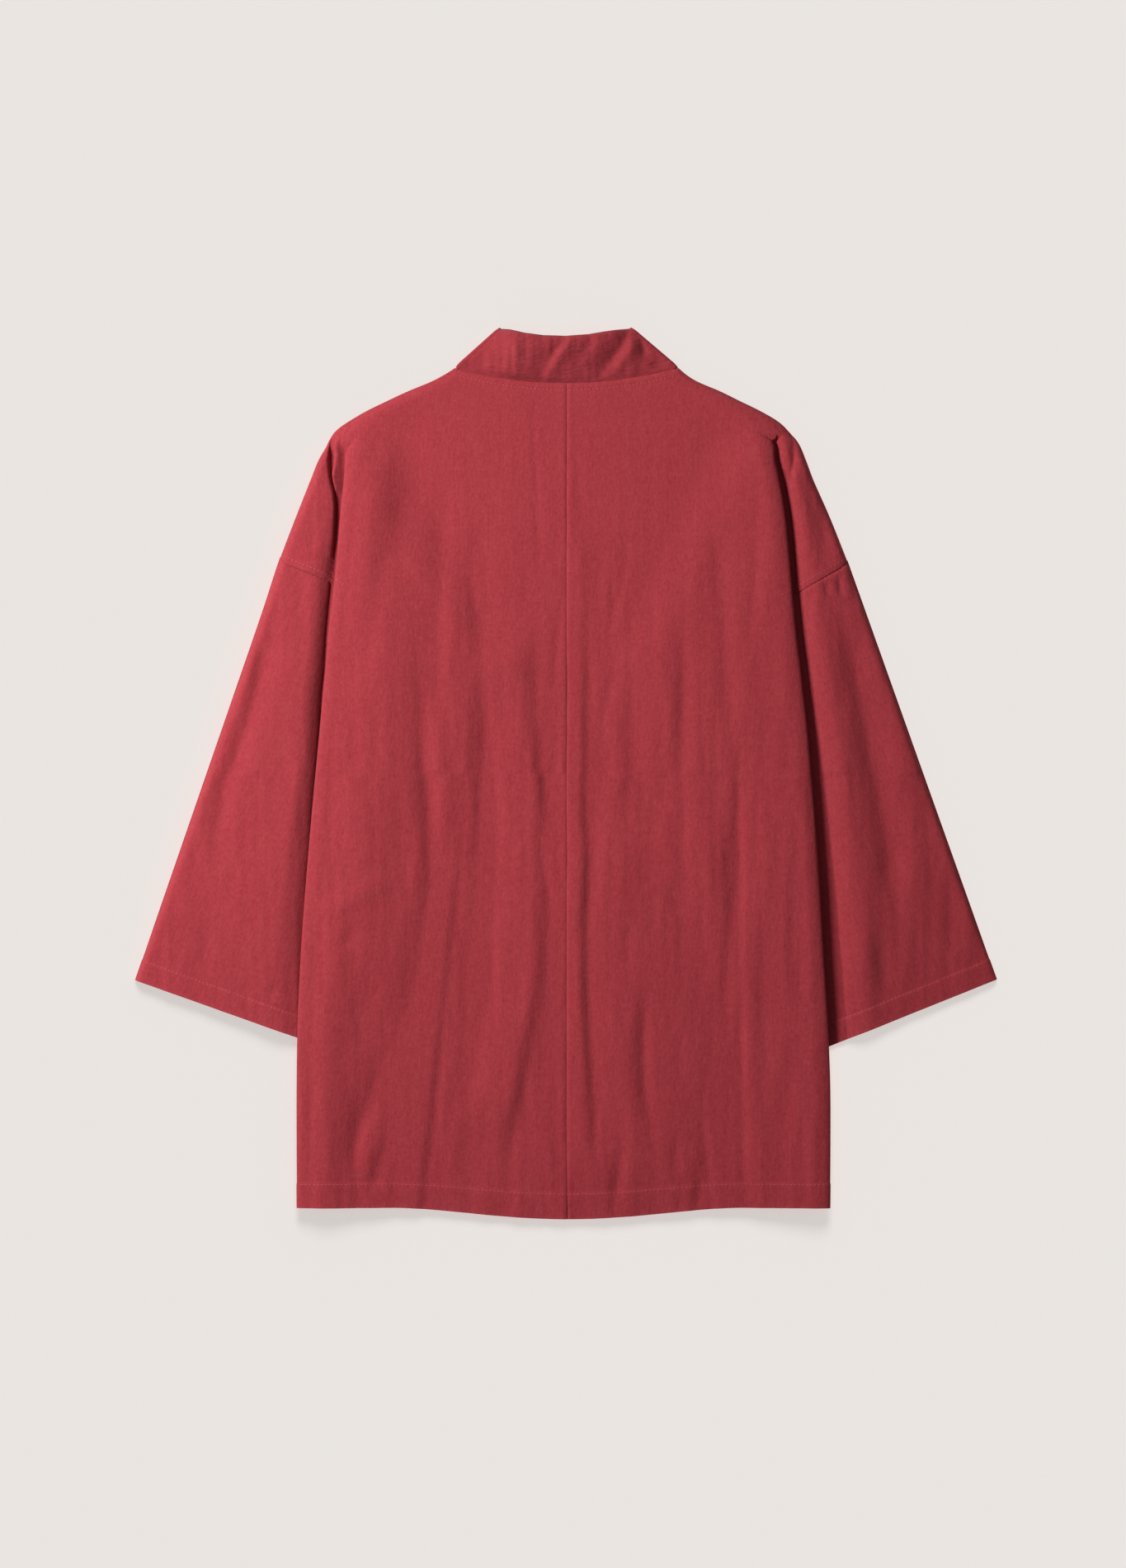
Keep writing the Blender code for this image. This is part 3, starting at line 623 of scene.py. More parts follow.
def cloud(u, v, seed):
    """Soft unevenness between -1 and 1, with about one bump for each unit."""
    lattice = np.random.default_rng(seed).uniform(-1.0, 1.0, (61, 61))
    column = np.floor(u).astype(int)
    row = np.floor(v).astype(int)
    across = smooth(u - column)
    down = smooth(v - row)
    column, row = column % 60, row % 60
    upper = mix(lattice[row, column], lattice[row, column + 1], across)
    lower = mix(lattice[row + 1, column], lattice[row + 1, column + 1], across)
    return mix(upper, lower, down)


def creased(creases, x, y, seed):
    """Height that the creases give the cloth at each point."""
    total = np.zeros_like(x)
    for number, (path, left, right, height, sharpness) in enumerate(creases):
        path_x, path_y = (np.array(places, float)[::-1] for places in zip(*path))
        middle = sum(np.interp(y + shift, path_y, path_x) for shift in (-12, -6, 0, 6, 12)) / 5
        middle = middle + 1.2 * cloud(y / 31.0, np.full_like(y, number + 0.5), seed)
        middle = middle + 0.35 * cloud(y / 9.0, np.full_like(y, number + 3.5), seed + 2)
        slope = np.interp(y, path_y, np.gradient(path_x, path_y))
        away = (x - middle) / np.sqrt(1.0 + slope * slope)
        shape = np.exp(-np.abs(away / np.where(away < 0, left, right)) ** sharpness)
        reach = min(0.6 * (path_y[-1] - path_y[0]), 60.0)
        ends = smooth((y - path_y[0]) / reach + 0.3) * smooth((path_y[-1] - y) / reach + 0.3)
        uneven = 1.0 + 0.28 * cloud(y / 47.0, np.full_like(y, number + 7.5), seed + 1)
        total += CREASE_DEPTH * height * shape * ends * uneven
    return total


def crinkled(x, y, seed):
    """Small irregular crinkles of washed cloth, longer along the warp."""
    fine = 0.10 * cloud(x / 5.0, y / 30.0, seed) + 0.05 * cloud(x / 3.4, y / 9.0, seed + 1)
    broad = 0.34 * cloud(x / 14.0, y / 80.0, seed + 2) + 0.15 * cloud(x / 8.0, y / 40.0, seed + 3)
    lines = 0.30 * np.abs(cloud(x / 9.0, y / 130.0, seed + 4))
    lines = lines + 0.16 * np.abs(cloud(x / 5.0, y / 60.0, seed + 5))
    return CRINKLE_DEPTH * (fine + broad - lines)


sample = crinkled(np.linspace(0.0, 200.0, 400), np.zeros(400), 21)
print("the crinkle of a row is up to", round(float(np.ptp(sample)), 2), "mm high")

# %% [markdown]
# ## From a flat grid to laid cloth
# A piece starts as a flat grid with a point for each small square of cloth, and every point is then moved
# to where that bit of cloth lies. A sculpted surface would look the same, but here the grid keeps the
# squares even, and its own coordinates become the cut of the piece, which the weave follows. A wall is
# added last, thicker at the hems where the cloth is turned up.

# %% Grid helpers
def stops(*knots):
    """Places along a line. Each knot is a place and the spacing wanted there."""
    places = []
    for (start, first), (end, last) in zip(knots, knots[1:]):
        count = max(1, math.ceil(abs(end - start) / ((first + last) / 2)))
        t = np.arange(count) / count
        places.append(start + (end - start) * (2 * first * t + (last - first) * t * t) / (first + last))
    return np.concatenate(places + [np.array([knots[-1][0]])])


def spread(places, count):
    """The same run of places with another number of stops."""
    return np.interp(np.linspace(0, 1, count), np.linspace(0, 1, len(places)), places)


def lengths(place, axis):
    """Lengths along the cloth, added up over the rows or the columns of its points."""
    steps = np.linalg.norm(np.diff(place, axis=axis), axis=2)
    return np.insert(np.cumsum(steps, axis=axis), 0, 0.0, axis=axis)


print("stops for a 30 mm edge:", np.round(stops((0, 1), (10, 3), (30, 3)), 1))

# %% Lay a piece of cloth
EDGE_SOFTNESS = 0.3 * MM
EDGE_ANGLE = math.radians(62)


def lay_cloth(name, place, material, thickness, hem=None, rubbed=None, closed=False, straight_after=None):
    """Move a flat grid to the places in an array of rows, columns and x, y, z in millimetres.

    After the column straight_after, the weave runs straight up the piece.
    """
    rows, columns = place.shape[:2]
    across = lengths(place, 1)
    if straight_after is not None:
        turned = smooth((np.arange(columns) - straight_after) / 8.0)
        across = mix(across, np.abs(place[:, :, 0]), turned[None, :])
    down = lengths(place, 0).mean(axis=1)
    mesh = bmesh.new()
    bmesh.ops.create_grid(mesh, x_segments=columns - 1, y_segments=rows - 1, size=0.5)
    cut = mesh.loops.layers.uv.new("cut")
    worn = mesh.verts.layers.float.new("rubbed")
    weights = mesh.verts.layers.deform.verify()
    position = {}
    for vertex in mesh.verts:
        column = round((vertex.co.x + 0.5) * (columns - 1))
        row = rows - 1 - round((vertex.co.y + 0.5) * (rows - 1))
        position[vertex] = (row, column)
    for vertex, (row, column) in position.items():
        vertex.co = Vector(place[row, column]) * MM
        if rubbed is not None:
            vertex[worn] = float(rubbed[row, column])
        vertex[weights][0] = 0.5 if hem is None else float(mix(0.5, 1.0, hem[row, column]))
    for face in mesh.faces:
        for loop in face.loops:
            row, column = position[loop.vert]
            loop[cut].uv = (across[row, column] * MM, -down[row] * MM)
    if closed:
        bmesh.ops.remove_doubles(mesh, verts=mesh.verts, dist=1e-7)
    bmesh.ops.recalc_face_normals(mesh, faces=mesh.faces)
    piece = make_piece(name, mesh, material, jacket_only)
    if thickness:
        piece.vertex_groups.new(name="hem")
        wall = piece.modifiers.new("cloth wall", "SOLIDIFY")
        wall.thickness = 2 * thickness * MM
        wall.offset = 0.0
        wall.vertex_group = "hem"
        rounding = piece.modifiers.new("soft edge", "BEVEL")
        rounding.limit_method = "ANGLE"
        rounding.angle_limit = EDGE_ANGLE
        rounding.width = EDGE_SOFTNESS
        rounding.segments = 2
    return piece


def declare(piece, node):
    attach(piece, "root")
    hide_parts(node)


# %% [markdown]
# ## The back
# The back is two halves with a seam down the middle. Each half is laid in three stretches: the flat run
# from the centre seam, the roll over the side fold, and the hidden stretch under it, which comes out again
# as the dropped shoulder. The stretches could be separate strips, but one grid keeps the weave and the
# folds whole. At the shoulder's corner the fold opens out, so the folded and the open shapes are mixed
# there.

# %% Rows and columns of a body panel
RUN_COLUMNS = 80
ROLL_COLUMNS = 16
INNER_COLUMNS = 58
SHOULDER_COLUMNS = 40
UNDERSIDE = RUN_COLUMNS + ROLL_COLUMNS
BACK_ROWS = stops(
    (NECK_SEAM_Y, 0.7), (NECK_SEAM_Y - 8.0, 1.3), (NECK_SEAM_Y - 18.0, 3.0), (300.0, 2.8), (288.0, 1.5),
    (236.0, 1.5), (220.0, 3.1), (UNDERARM_Y, 3.1), (BACK_HEM_Y + 26.0, 3.1), (BACK_HEM_Y + HEM_DEPTH, 1.3),
    (BACK_HEM_Y + 14.0, 2.6), (BACK_HEM_Y, 0.8),
)
print("rows of a back half:", len(BACK_ROWS))

# %% Stretches of a body panel
def half_turn(x, start, end, outward, count):
    """Points round a tight fold from one height to another."""
    angle = np.linspace(0.0, math.pi, count)
    radius = abs(end - start) / 2
    return x + outward * radius * np.sin(angle), start + (end - start) * (1 - np.cos(angle)) / 2


def folded_away(side, y):
    """0 where the side is open at the shoulder, and 1 where it is folded right under."""
    return float(smooth((side.fold(y) - side.tuck(y) + 8.0) / 12.0))


def shoulder_layer_height(side, x, y, number, lifted):
    """Height of a layer that comes out of the tuck and down to the table."""
    raised = side.raised(x, y)
    return mix(level(number), level(number + 2), raised) + lifted * side.lift(x, y) * (1.0 - raised)


def shoulder_stops(side, y, start, edge):
    """Places across the dropped shoulder, closer together beside the gap."""
    slit = min(float(side.fold(y) + side.gap(y)), edge - 2.0)
    if slit < start + 3.0:
        return np.linspace(start, edge, SHOULDER_COLUMNS)
    lead = slit - min(6.0, (slit - start) / 2)
    span = edge - slit
    beyond = ((slit + 0.3 * span, 1.0), (slit + 0.7 * span, 2.0), (edge, 1.2))
    return spread(stops((start, 3.5), (lead, 1.6), (slit, 0.8), *beyond), SHOULDER_COLUMNS)


def inner_stretch(side, y, start, under, third, seam):
    """From the side fold in to the tuck and out to the shoulder's edge, or in to the side seam."""
    tuck_x = float(side.tuck(y)) + LAYER / 2
    inward = np.linspace(0, 1, 14)
    third_x = shoulder_stops(side, y, tuck_x, float(side.edge(y)))
    third_z = third(third_x)
    turn_x, turn_z = half_turn(tuck_x, under, third_z[0], -1.0, 6)
    tucked_x = np.concatenate([mix(start[0], tuck_x, inward), turn_x[1:-1], third_x])
    tucked_z = np.concatenate([mix(start[1], under, smooth(1.6 * inward)), turn_z[1:-1], third_z])
    bed_x = float(side.underarm_fold(y)) - 1.0
    to_bed = np.linspace(0, 1, 32)
    to_seam = np.linspace(0, 1, 27)[1:]
    seamed_x = np.concatenate([mix(start[0], bed_x, to_bed), mix(bed_x, seam[0], to_seam)])
    seamed_z = np.concatenate([
        mix(start[1], under, smooth(1.8 * to_bed)), mix(under, seam[1], smooth(to_seam))])
    share = float(smooth((UNDERARM_Y + 2.0 - y) / 16.0))
    return mix(tucked_x, seamed_x, share), mix(tucked_z, seamed_z, share)


print("the side is open at the shoulder's corner:", folded_away(LEFT, 300.0) == 0.0)

# %% One row of a back half
ROLL_DROP = 3.6
ROLL_DEPTH = 6.2
ROLL_TUCKED_BACK = 2.6


def back_run_height(side, x, y):
    """Height of the back's upper run, over the layers inside it."""
    below_arm = float(smooth((UNDERARM_Y + 20.0 - y) / 40.0))
    start = mix(float(side.tuck(y)), float(side.underarm_fold(y)), below_arm) - 2.0
    over = mix(BED_HEIGHT, shelf_curve(y), smooth((x - start + 50.0) / 50.0))
    length = max(side.fold(y) - SIDE_ROLL - start, 45.0)
    beyond = np.clip((x - side.fold(y) + SIDE_ROLL + length) / length, 0.0, 1.0)
    rise = mix(beyond ** 2, smooth(beyond / 0.75), min(side.edge_drop / 2.4, 1.0))
    drop = smooth((270.0 - y) / 120.0) * np.clip((beyond - 0.7) / 0.3, 0.0, 1.0) ** 2
    return over + (lip_curve(y) - shelf_curve(y)) * rise - side.edge_drop * drop


def side_roll(roll_x, top):
    """The roll over the side fold, from its top round to the underside."""
    angle = np.linspace(0.0, math.pi, ROLL_COLUMNS + 1)[1:]
    upper = angle < math.pi / 2
    under_start = max(level(4), top - ROLL_DEPTH)
    reach = np.where(upper, SIDE_ROLL * np.sin(angle), SIDE_ROLL - ROLL_TUCKED_BACK * (1 - np.sin(angle)))
    middle = top - ROLL_DROP
    z = middle + np.where(upper, ROLL_DROP, middle - under_start) * np.cos(angle)
    return roll_x + reach, z


def back_row(side, y):
    """One row of a back half: distance from the centre and height of each point."""
    roll_x = float(side.fold(y)) - SIDE_ROLL
    run_x = spread(stops((0.12, 0.45), (3.0, 1.0), (8.0, 2.4), (roll_x, 2.4)), RUN_COLUMNS)
    run_z = back_run_height(side, run_x, y)
    top = run_z[-1]
    fold_x, fold_z = side_roll(roll_x, top)
    under = mix(level(4), level(3), float(smooth((side.hem_under[1] - 12.0 - y) / 50.0)))
    seam_z = mix(level(4), level(2), float(smooth((UNDERARM_Y - 12.0 - y) / 90.0)))
    inner_x, inner_z = inner_stretch(
        side, y, (fold_x[-1], fold_z[-1]), under,
        lambda x: shoulder_layer_height(side, x, y, 1, 1.0), (float(side.tuck(y)), seam_z))
    closed_x = np.concatenate([fold_x, inner_x])
    closed_z = np.concatenate([fold_z, inner_z])
    opened = np.linspace(0.0, math.pi / 2, ROLL_COLUMNS + INNER_COLUMNS + 1)[1:]
    low = float(edge_curve(y))
    open_x = roll_x + (float(side.edge(y)) - roll_x) * np.sin(opened)
    open_z = low + (top - low) * np.cos(opened)
    share = folded_away(side, y)
    x = np.concatenate([run_x, mix(open_x, closed_x, share)])
    z = np.concatenate([run_z, mix(open_z, closed_z, share)])
    return x, z


print("points in a row of a back half:", len(back_row(LEFT, 0.0)[0]))

# %% [markdown]
# The neck edge and the hem of the back dip in shallow curves. At the armhole the seam sinks in between its
# stitches, and on the left it is pulled up beside the side fold. These could be modelled as separate
# ridges, but on a fine grid a height that is added to the points stays one cloth.

# %% Neck, hem and armhole
def neck_dip(x):
    return NECK_DIP * np.clip(1.0 - (x / NECK_HALF_WIDTH) ** 2, 0.0, 1.0)


def hem_dip(x):
    return BACK_HEM_DIP * np.clip(1.0 - (x / BACK_HEM_DIP_REACH) ** 2, 0.0, 1.0) ** 2


def between_stitches(x):
    """How far a seam sinks in along its run, a little less at each stitch."""
    return 0.6 + 0.4 * np.cos(2.0 * math.pi * x / 3.1)


def pulled_up(side, x, y):
    """How far the armhole seam and the cloth about it are pulled up beside the side fold."""
    top_x = side.armhole_top[0]
    seam_y = ARMHOLE_TOP_Y + (x - top_x) * (ARMHOLE_TOP_Y - UNDERARM_Y) / (top_x - UNDERARM_X)
    inward = 0.35 + 0.65 * smooth((top_x - x) / 46.0)
    return side.seam_pull * mark(y - seam_y, 34.0) * inward * smooth((x - 172.0) / 22.0)


def seam_distance(side, x, y):
    """How far a point of the dropped shoulder is from the armhole seam."""
    top_x, top_y = side.armhole_top
    along = (UNDERARM_X - top_x, UNDERARM_Y - top_y)
    return np.abs((x - top_x) * along[1] - (y - top_y) * along[0]) / math.hypot(*along)


print("the hem dips", round(float(hem_dip(np.array(0.0))), 1), "mm at the centre back")

# %% Relief of the back
def run_relief(side, x, y):
    """Creases and crinkle of the upper run, which is smoother over the shoulders than further down."""
    by_height = mix(0.17, 1.0, smooth((290.0 - y) / 400.0))
    across = side.sign * x
    creases = (0.65 + 0.5 * by_height) * creased(BACK_CREASES, across, y, 11)
    return creases + by_height * crinkled(across, y, 21)


def shoulder_relief(side, x, y):
    across = side.sign * x
    return creased(SHOULDER_CREASES, across, y, 13) + 0.7 * crinkled(across, y, 40)


def pressed_edges(x, from_neck, from_hem):
    """The turned-up hem stands up, its stitching puckers, and the neck edge curls down into its seam."""
    turned_up = 1.0 - smooth((from_hem - HEM_DEPTH) / 1.6)
    stitched = mark(from_hem - HEM_DEPTH, 1.3) + mark(from_neck - NECK_STITCH_DEPTH, 0.9)
    pucker = 0.5 + 0.5 * cloud(x / 4.3, 0 * x + 0.5, 63)
    neck = 0.35 * (1.0 - smooth((from_neck - 4.8) / 1.6)) - 1.25 * fade(from_neck, 0.9)
    return 0.22 * turned_up - 0.30 * stitched * pucker + neck


def centre_seam(x):
    """The seam allowances are pressed open, so the cloth sinks in at the seam and stands up beside it."""
    return 0.22 * mark(x - 3.4, 2.6) - 0.6 * fade(x, 0.7)


print("height of the centre seam:", round(float(centre_seam(np.array(0.0))), 2), "mm")


# %% Lay the back halves
def lay_back(side):
    rows = [back_row(side, float(y)) for y in BACK_ROWS]
    x = np.array([row[0] for row in rows])
    z = np.array([row[1] for row in rows])
    from_neck = (NECK_SEAM_Y - BACK_ROWS)[:, None] + 0 * x
    from_hem = (BACK_ROWS - BACK_HEM_Y)[:, None] + 0 * x
    y = np.repeat(BACK_ROWS[:, None], x.shape[1], axis=1)
    y = y - neck_dip(x) * (1.0 - smooth(from_neck / 60.0)) - hem_dip(x) * (1.0 - smooth(from_hem / 90.0))
    columns = np.arange(x.shape[1])
    opened = np.array([1.0 - folded_away(side, float(v)) for v in BACK_ROWS])[:, None]
    on_run = 1.0 - smooth((columns - RUN_COLUMNS) / (ROLL_COLUMNS * 0.55))
    on_top = np.maximum(on_run[None, :], opened * (1.0 - smooth((x - side.edge(y) + 8.0) / 8.0)))
    outside = smooth((columns - UNDERSIDE - 19.0) / 6.0) * smooth((x - side.fold(y) + 4.0) / 6.0)
    z = z + on_top * run_relief(side, x, y) + outside * shoulder_relief(side, x, y)
    inner_top = mix(level(2), level(4), smooth((x - side.tuck(y) + 14.0) / 10.0)) + 1.0
    z = np.where(columns < RUN_COLUMNS, np.maximum(z, inner_top * (1.0 - opened)), z)
    z = z + on_top * pressed_edges(x, from_neck, from_hem) + centre_seam(x)
    at_armhole = fade(seam_distance(side, x, y), 1.1) * (y < ARMHOLE_TOP_Y + 1.0) * outside
    ditched = np.maximum(z - 0.5 * at_armhole * between_stitches(x), level(1))
    z = np.where(columns > UNDERSIDE, ditched, z)
    rubbed = 0.25 * fade(from_hem, 1.5) + 0.12 * fade(np.abs(x - side.fold(y)), 1.5) + 0.10 * fade(x, 1.2)
    y = y + pulled_up(side, x, y) * (columns > UNDERSIDE)
    place = np.stack([side.sign * x, y, z], axis=2)
    hem = 0.8 * (1.0 - smooth((from_hem - HEM_DEPTH) / 1.6))
    name = f"back_{side.name}_cloth"
    return lay_cloth(name, place, body_cloth, CLOTH, hem, np.clip(rubbed, 0, 1), straight_after=UNDERSIDE)


back_left = lay_back(LEFT)
back_right = lay_back(RIGHT)
print("back halves:", len(back_left.data.polygons), len(back_right.data.polygons), "squares")

# %% [markdown]
# ## The sleeves
# Each sleeve is one piece folded along its top edge and sewn along the underarm, so it lies as a flat tube.
# Its lower fold is inside the body. It comes out from between the back and the front, steps down to the
# table beside the side fold, and lies a little plump between its folds. Two flat sheets could stand for it,
# but a closed ring for each row gives true folds. Its seam allowance goes on 2.4 mm under the shoulder's
# edge.

# %% Creases of the sleeves
LEFT_SLEEVE_CREASES = (
    (((-252, 124), (-258, 90), (-270, 40), (-290, -9), (-297, -51), (-293, -79)), 7, 9, -1.8, 1.8),
    (((-262, 120), (-272, 70), (-284, 30)), 6, 8, 0.9, 1.8),
    (((-262, -60), (-268, -110), (-266, -150)), 12, 14, 1.0, 2.0),
    (((-306, -130), (-306, -170)), 10, 10, -0.9, 2.0),
    (((-214, 166), (-211, 160)), 1.8, 2.0, -1.0, 1.6),
    (((-246, -176), (-252, -192)), 4, 4, -0.9, 1.6),
    (((-324, -120), (-332, -160)), 6, 8, -0.6, 2.0),
)
RIGHT_SLEEVE_CREASES = (
    (((240, 124), (244, 96), (254, 40), (262, -2), (272, -65), (276, -110)), 9, 12, -2.4, 1.9),
    (((276, 60), (288, 5), (298, -60), (300, -110)), 10, 12, 1.2, 2.0),
    (((230, 168), (232, 150)), 2.2, 1.8, -1.2, 1.6),
    (((219, 163), (221, 150)), 2.0, 1.8, -0.9, 1.6),
    (((209, 158), (211, 148)), 2.2, 1.8, -0.6, 1.6),
    (((266, -135), (269, -184)), 8, 8, -1.0, 2.0),
    (((240, 174), (244, 140)), 5, 5, -1.2, 1.8),
    (((322, -90), (330, -150)), 9, 7, -0.9, 2.0),
)
UNDER_CREASES = (
    (((-250, 60), (-262, -40), (-270, -120)), 10, 12, 0.7, 2.0),
    (((246, 70), (262, -30), (268, -110)), 12, 10, 0.7, 2.0),
    (((-310, -60), (-318, -130)), 8, 8, 0.5, 2.0),
    (((306, -50), (322, -120)), 8, 8, 0.5, 2.0),
)
print("creases placed on the sleeves:", len(LEFT_SLEEVE_CREASES) + len(RIGHT_SLEEVE_CREASES))

# %% One ring of a sleeve
UPPER_COLUMNS = 92
LOWER_COLUMNS = 52
ALLOWANCE = 2.4


def fold_over(start, end, outward):
    """Points round a fold of the sleeve, from the end of one layer to the start of the other."""
    angle = np.linspace(0.0, math.pi, 6)[1:-1]
    reach = abs(end[2] - start[2]) / 2 * np.sin(angle)
    height = start[2] + (end[2] - start[2]) * (1 - np.cos(angle)) / 2
    return np.stack([start[0] + outward[0] * reach, start[1] + outward[1] * reach, height], axis=1)


def sleeve_ring(side, share):
    """Points round a sleeve, from its top fold over the upper layer and back along the lower one."""
    seam = np.array((UNDERARM_X, UNDERARM_Y)) - side.armhole_top
    under_start = side.armhole_top + seam * (1.0 - UNDERARM_INSET / np.linalg.norm(seam))
    top = mix(np.array(side.armhole_top), np.array(side.hem_top), share)
    under = mix(under_start, np.array(side.hem_under), share)
    width = np.linalg.norm(under - top)
    toward = (under - top) / width
    along = np.linspace(0.0, width, 200)
    x, y = (top[i] + toward[i] * along for i in (0, 1))
    slit = float(np.interp(0.0, side.fold(y) + side.gap(y) - x, along))
    by_slit = ((slit - 16.0, 2.4), (slit - 4.0, 0.9), (slit + 3.0, 0.9), (slit + 14.0, 3.0))
    upper = spread(stops((LAYER / 2, 0.5), (6.0, 2.4), *by_slit, (width - LAYER / 2, 4.0)), UPPER_COLUMNS)
    layers = []
    for stretch, number in ((upper, 1), (spread(upper, LOWER_COLUMNS)[::-1], 0)):
        x, y = (top[i] + toward[i] * stretch for i in (0, 1))
        raised = side.raised(x, y)
        height = mix(level(number), level(number + 2), raised)
        if number == 1:
            flatter_at_hem = mix(1.0, 0.6, float(smooth((share - 0.8) * 5)))
            height = height + flatter_at_hem * side.lift(x, y) * (1.0 - raised) * smooth(stretch / 2.0)
        layers.append(np.stack([x, y, height], axis=1))
    upper, lower = layers
    under_fold = fold_over(upper[-1], lower[0], toward)
    top_fold = fold_over(lower[-1], upper[0], -toward)
    return np.concatenate([upper, under_fold, lower, top_fold, upper[:1]])


print("points round a sleeve:", len(sleeve_ring(LEFT, 0.5)))


# %% Lay the sleeves
def sleeve_seam(x, distance):
    """How far the sleeve sinks in at the armhole seam, less where a stitch holds it."""
    return (1.2 + 1.2 * between_stitches(x)) * fade(np.clip(distance, 0.0, None), 1.3)


def lay_sleeve(side, creases):
    length = math.dist(side.armhole_top, side.hem_top)
    hem_stitch = length - SLEEVE_HEM_DEPTH
    distance = stops(
        (-ALLOWANCE, 0.9), (0.25, 0.5), (5.0, 1.4), (12.0, 3.0), (length - 24.0, 3.0), (hem_stitch, 1.2),
        (length - 12.0, 2.6), (length, 0.8))
    place = np.array([sleeve_ring(side, d / length) for d in distance])
    x, y, z = (place[:, :, i].copy() for i in range(3))
    distance = distance[:, None] + 0 * x
    columns = np.arange(place.shape[1])
    upper = smooth(columns / 3.0) * (columns < UPPER_COLUMNS)
    upper[-1] = upper[0]
    free = upper * (1.0 - side.raised(x, y))
    across = side.sign * x
    relief = creased(creases, across, y, 31) + 0.8 * crinkled(across, y, 51 + side.sign)
    z = z + free * relief * smooth(distance / 6.0)
    lower = (columns >= UPPER_COLUMNS + 4) & (columns < UPPER_COLUMNS + LOWER_COLUMNS + 2)
    below = np.maximum(creased(UNDER_CREASES, across, y, 71), 0.0) + 0.12 * np.abs(crinkled(x, y, 73))
    from_hem = length - distance
    turned_up = 1.0 - smooth((from_hem - SLEEVE_HEM_DEPTH) / 1.5)
    pucker = 0.5 + 0.5 * cloud(columns[None, :] / 1.7 + 0 * x, 0 * x + 0.5, 77)
    z = z + lower * below + free * (0.2 * turned_up - 0.28 * mark(from_hem - SLEEVE_HEM_DEPTH, 1.2) * pucker)
    allowance = smooth((0.25 - distance) / 0.9)
    z = z - free * sleeve_seam(x, distance) * (1.0 - allowance)
    z = np.where((columns > 0) & (columns < UPPER_COLUMNS), np.maximum(z, level(1)), z)
    z = z - upper * allowance * np.maximum(0.75, 0.6 * (z - level(1)))
    place = np.stack([across, y + pulled_up(side, x, y), z], axis=2)
    rubbed = 0.25 * fade(from_hem, 1.5) + 0.15 * fade(np.minimum(columns, UPPER_COLUMNS), 1.5)[None, :]
    name = f"sleeve_{side.name}_cloth"
    return lay_cloth(name, place, sleeve_cloth, CLOTH, turned_up * 0.8, np.clip(rubbed, 0, 1), closed=True)


sleeve_left = lay_sleeve(LEFT, LEFT_SLEEVE_CREASES)
sleeve_right = lay_sleeve(RIGHT, RIGHT_SLEEVE_CREASES)
print("sleeves:", len(sleeve_left.data.polygons), len(sleeve_right.data.polygons), "squares")

# %% [markdown]
# ## The fronts
# The fronts lie face down on the table, under the back. They are cut and tucked as the back is, and run in
# to the neckband's seam instead of a centre seam, so the back's stretches are used again. What shows of
# them is the shoulder's edge, and the underside.

# %% Rows and creases of the fronts
FRONT_RUN_COLUMNS = 48
FRONT_TURN_COLUMNS = 9
FRONT_UNDERSIDE = FRONT_RUN_COLUMNS + FRONT_TURN_COLUMNS - 1
SEAM_SPACE = 0.15
FRONT_CREASES = (
    (((-120, 190), (-126, 60), (-132, -60)), 10, 9, 1.1, 2.0),
    (((-96, -40), (-110, -160), (-128, -290)), 12, 10, 1.3, 2.0),
    (((-165, -90), (-176, -210), (-190, -340)), 9, 8, 0.9, 2.0),
    (((110, 200), (116, 80), (118, -30)), 9, 10, 1.0, 2.0),
    (((140, -20), (132, -150), (120, -300)), 10, 12, 1.3, 2.0),
    (((92, -160), (96, -260), (90, -350)), 8, 8, 0.8, 2.0),
)
FRONT_ROWS = stops(
    (NECK_SEAM_Y - 1.2, 2.0), (NECK_SEAM_Y - 18.0, 3.6), (ARMHOLE_TOP_Y, 3.6), (UNDERARM_Y, 3.6),
    (FRONT_HEM_Y + 26.0, 3.6), (FRONT_HEM_Y + HEM_DEPTH, 1.6), (FRONT_HEM_Y + 14.0, 3.2),
    (FRONT_HEM_Y, 1.0),
)
print("rows of a front:", len(FRONT_ROWS))


# %% Lay the fronts
def band_seam(y):
    """Distance from the centre back to the seam between a front and the neckband."""
    share = np.clip((NECK_SEAM_Y - y) / (NECK_SEAM_Y - UNDERARM_Y), 0.0, 1.0)
    return mix(NECK_HALF_WIDTH, NECKBAND_SEAM_BELOW_CHEST, share)


def front_row(side, y):
    inner = float(band_seam(y)) + SEAM_SPACE
    turn_from = max(float(side.front_fold(y)), inner + 1.0) - LAYER / 2
    run_x = np.linspace(inner, turn_from, FRONT_RUN_COLUMNS)
    turn_x, turn_z = half_turn(turn_from, level(0), level(1), 1.0, FRONT_TURN_COLUMNS)
    inner_x, inner_z = inner_stretch(
        side, y, (turn_x[-1], turn_z[-1]), level(1),
        lambda x: shoulder_layer_height(side, x, y, 0, 0.0), (float(side.tuck(y)), level(1)))
    closed_x = np.concatenate([turn_x[1:], inner_x])
    closed_z = np.concatenate([turn_z[1:], inner_z])
    open_x = mix(turn_from, float(side.edge(y)), np.linspace(0, 1, len(closed_x) + 1)[1:])
    share = folded_away(side, y)
    x = np.concatenate([run_x, mix(open_x, closed_x, share)])
    z = np.concatenate([np.full(FRONT_RUN_COLUMNS, level(0)), mix(level(0), closed_z, share)])
    return x, z


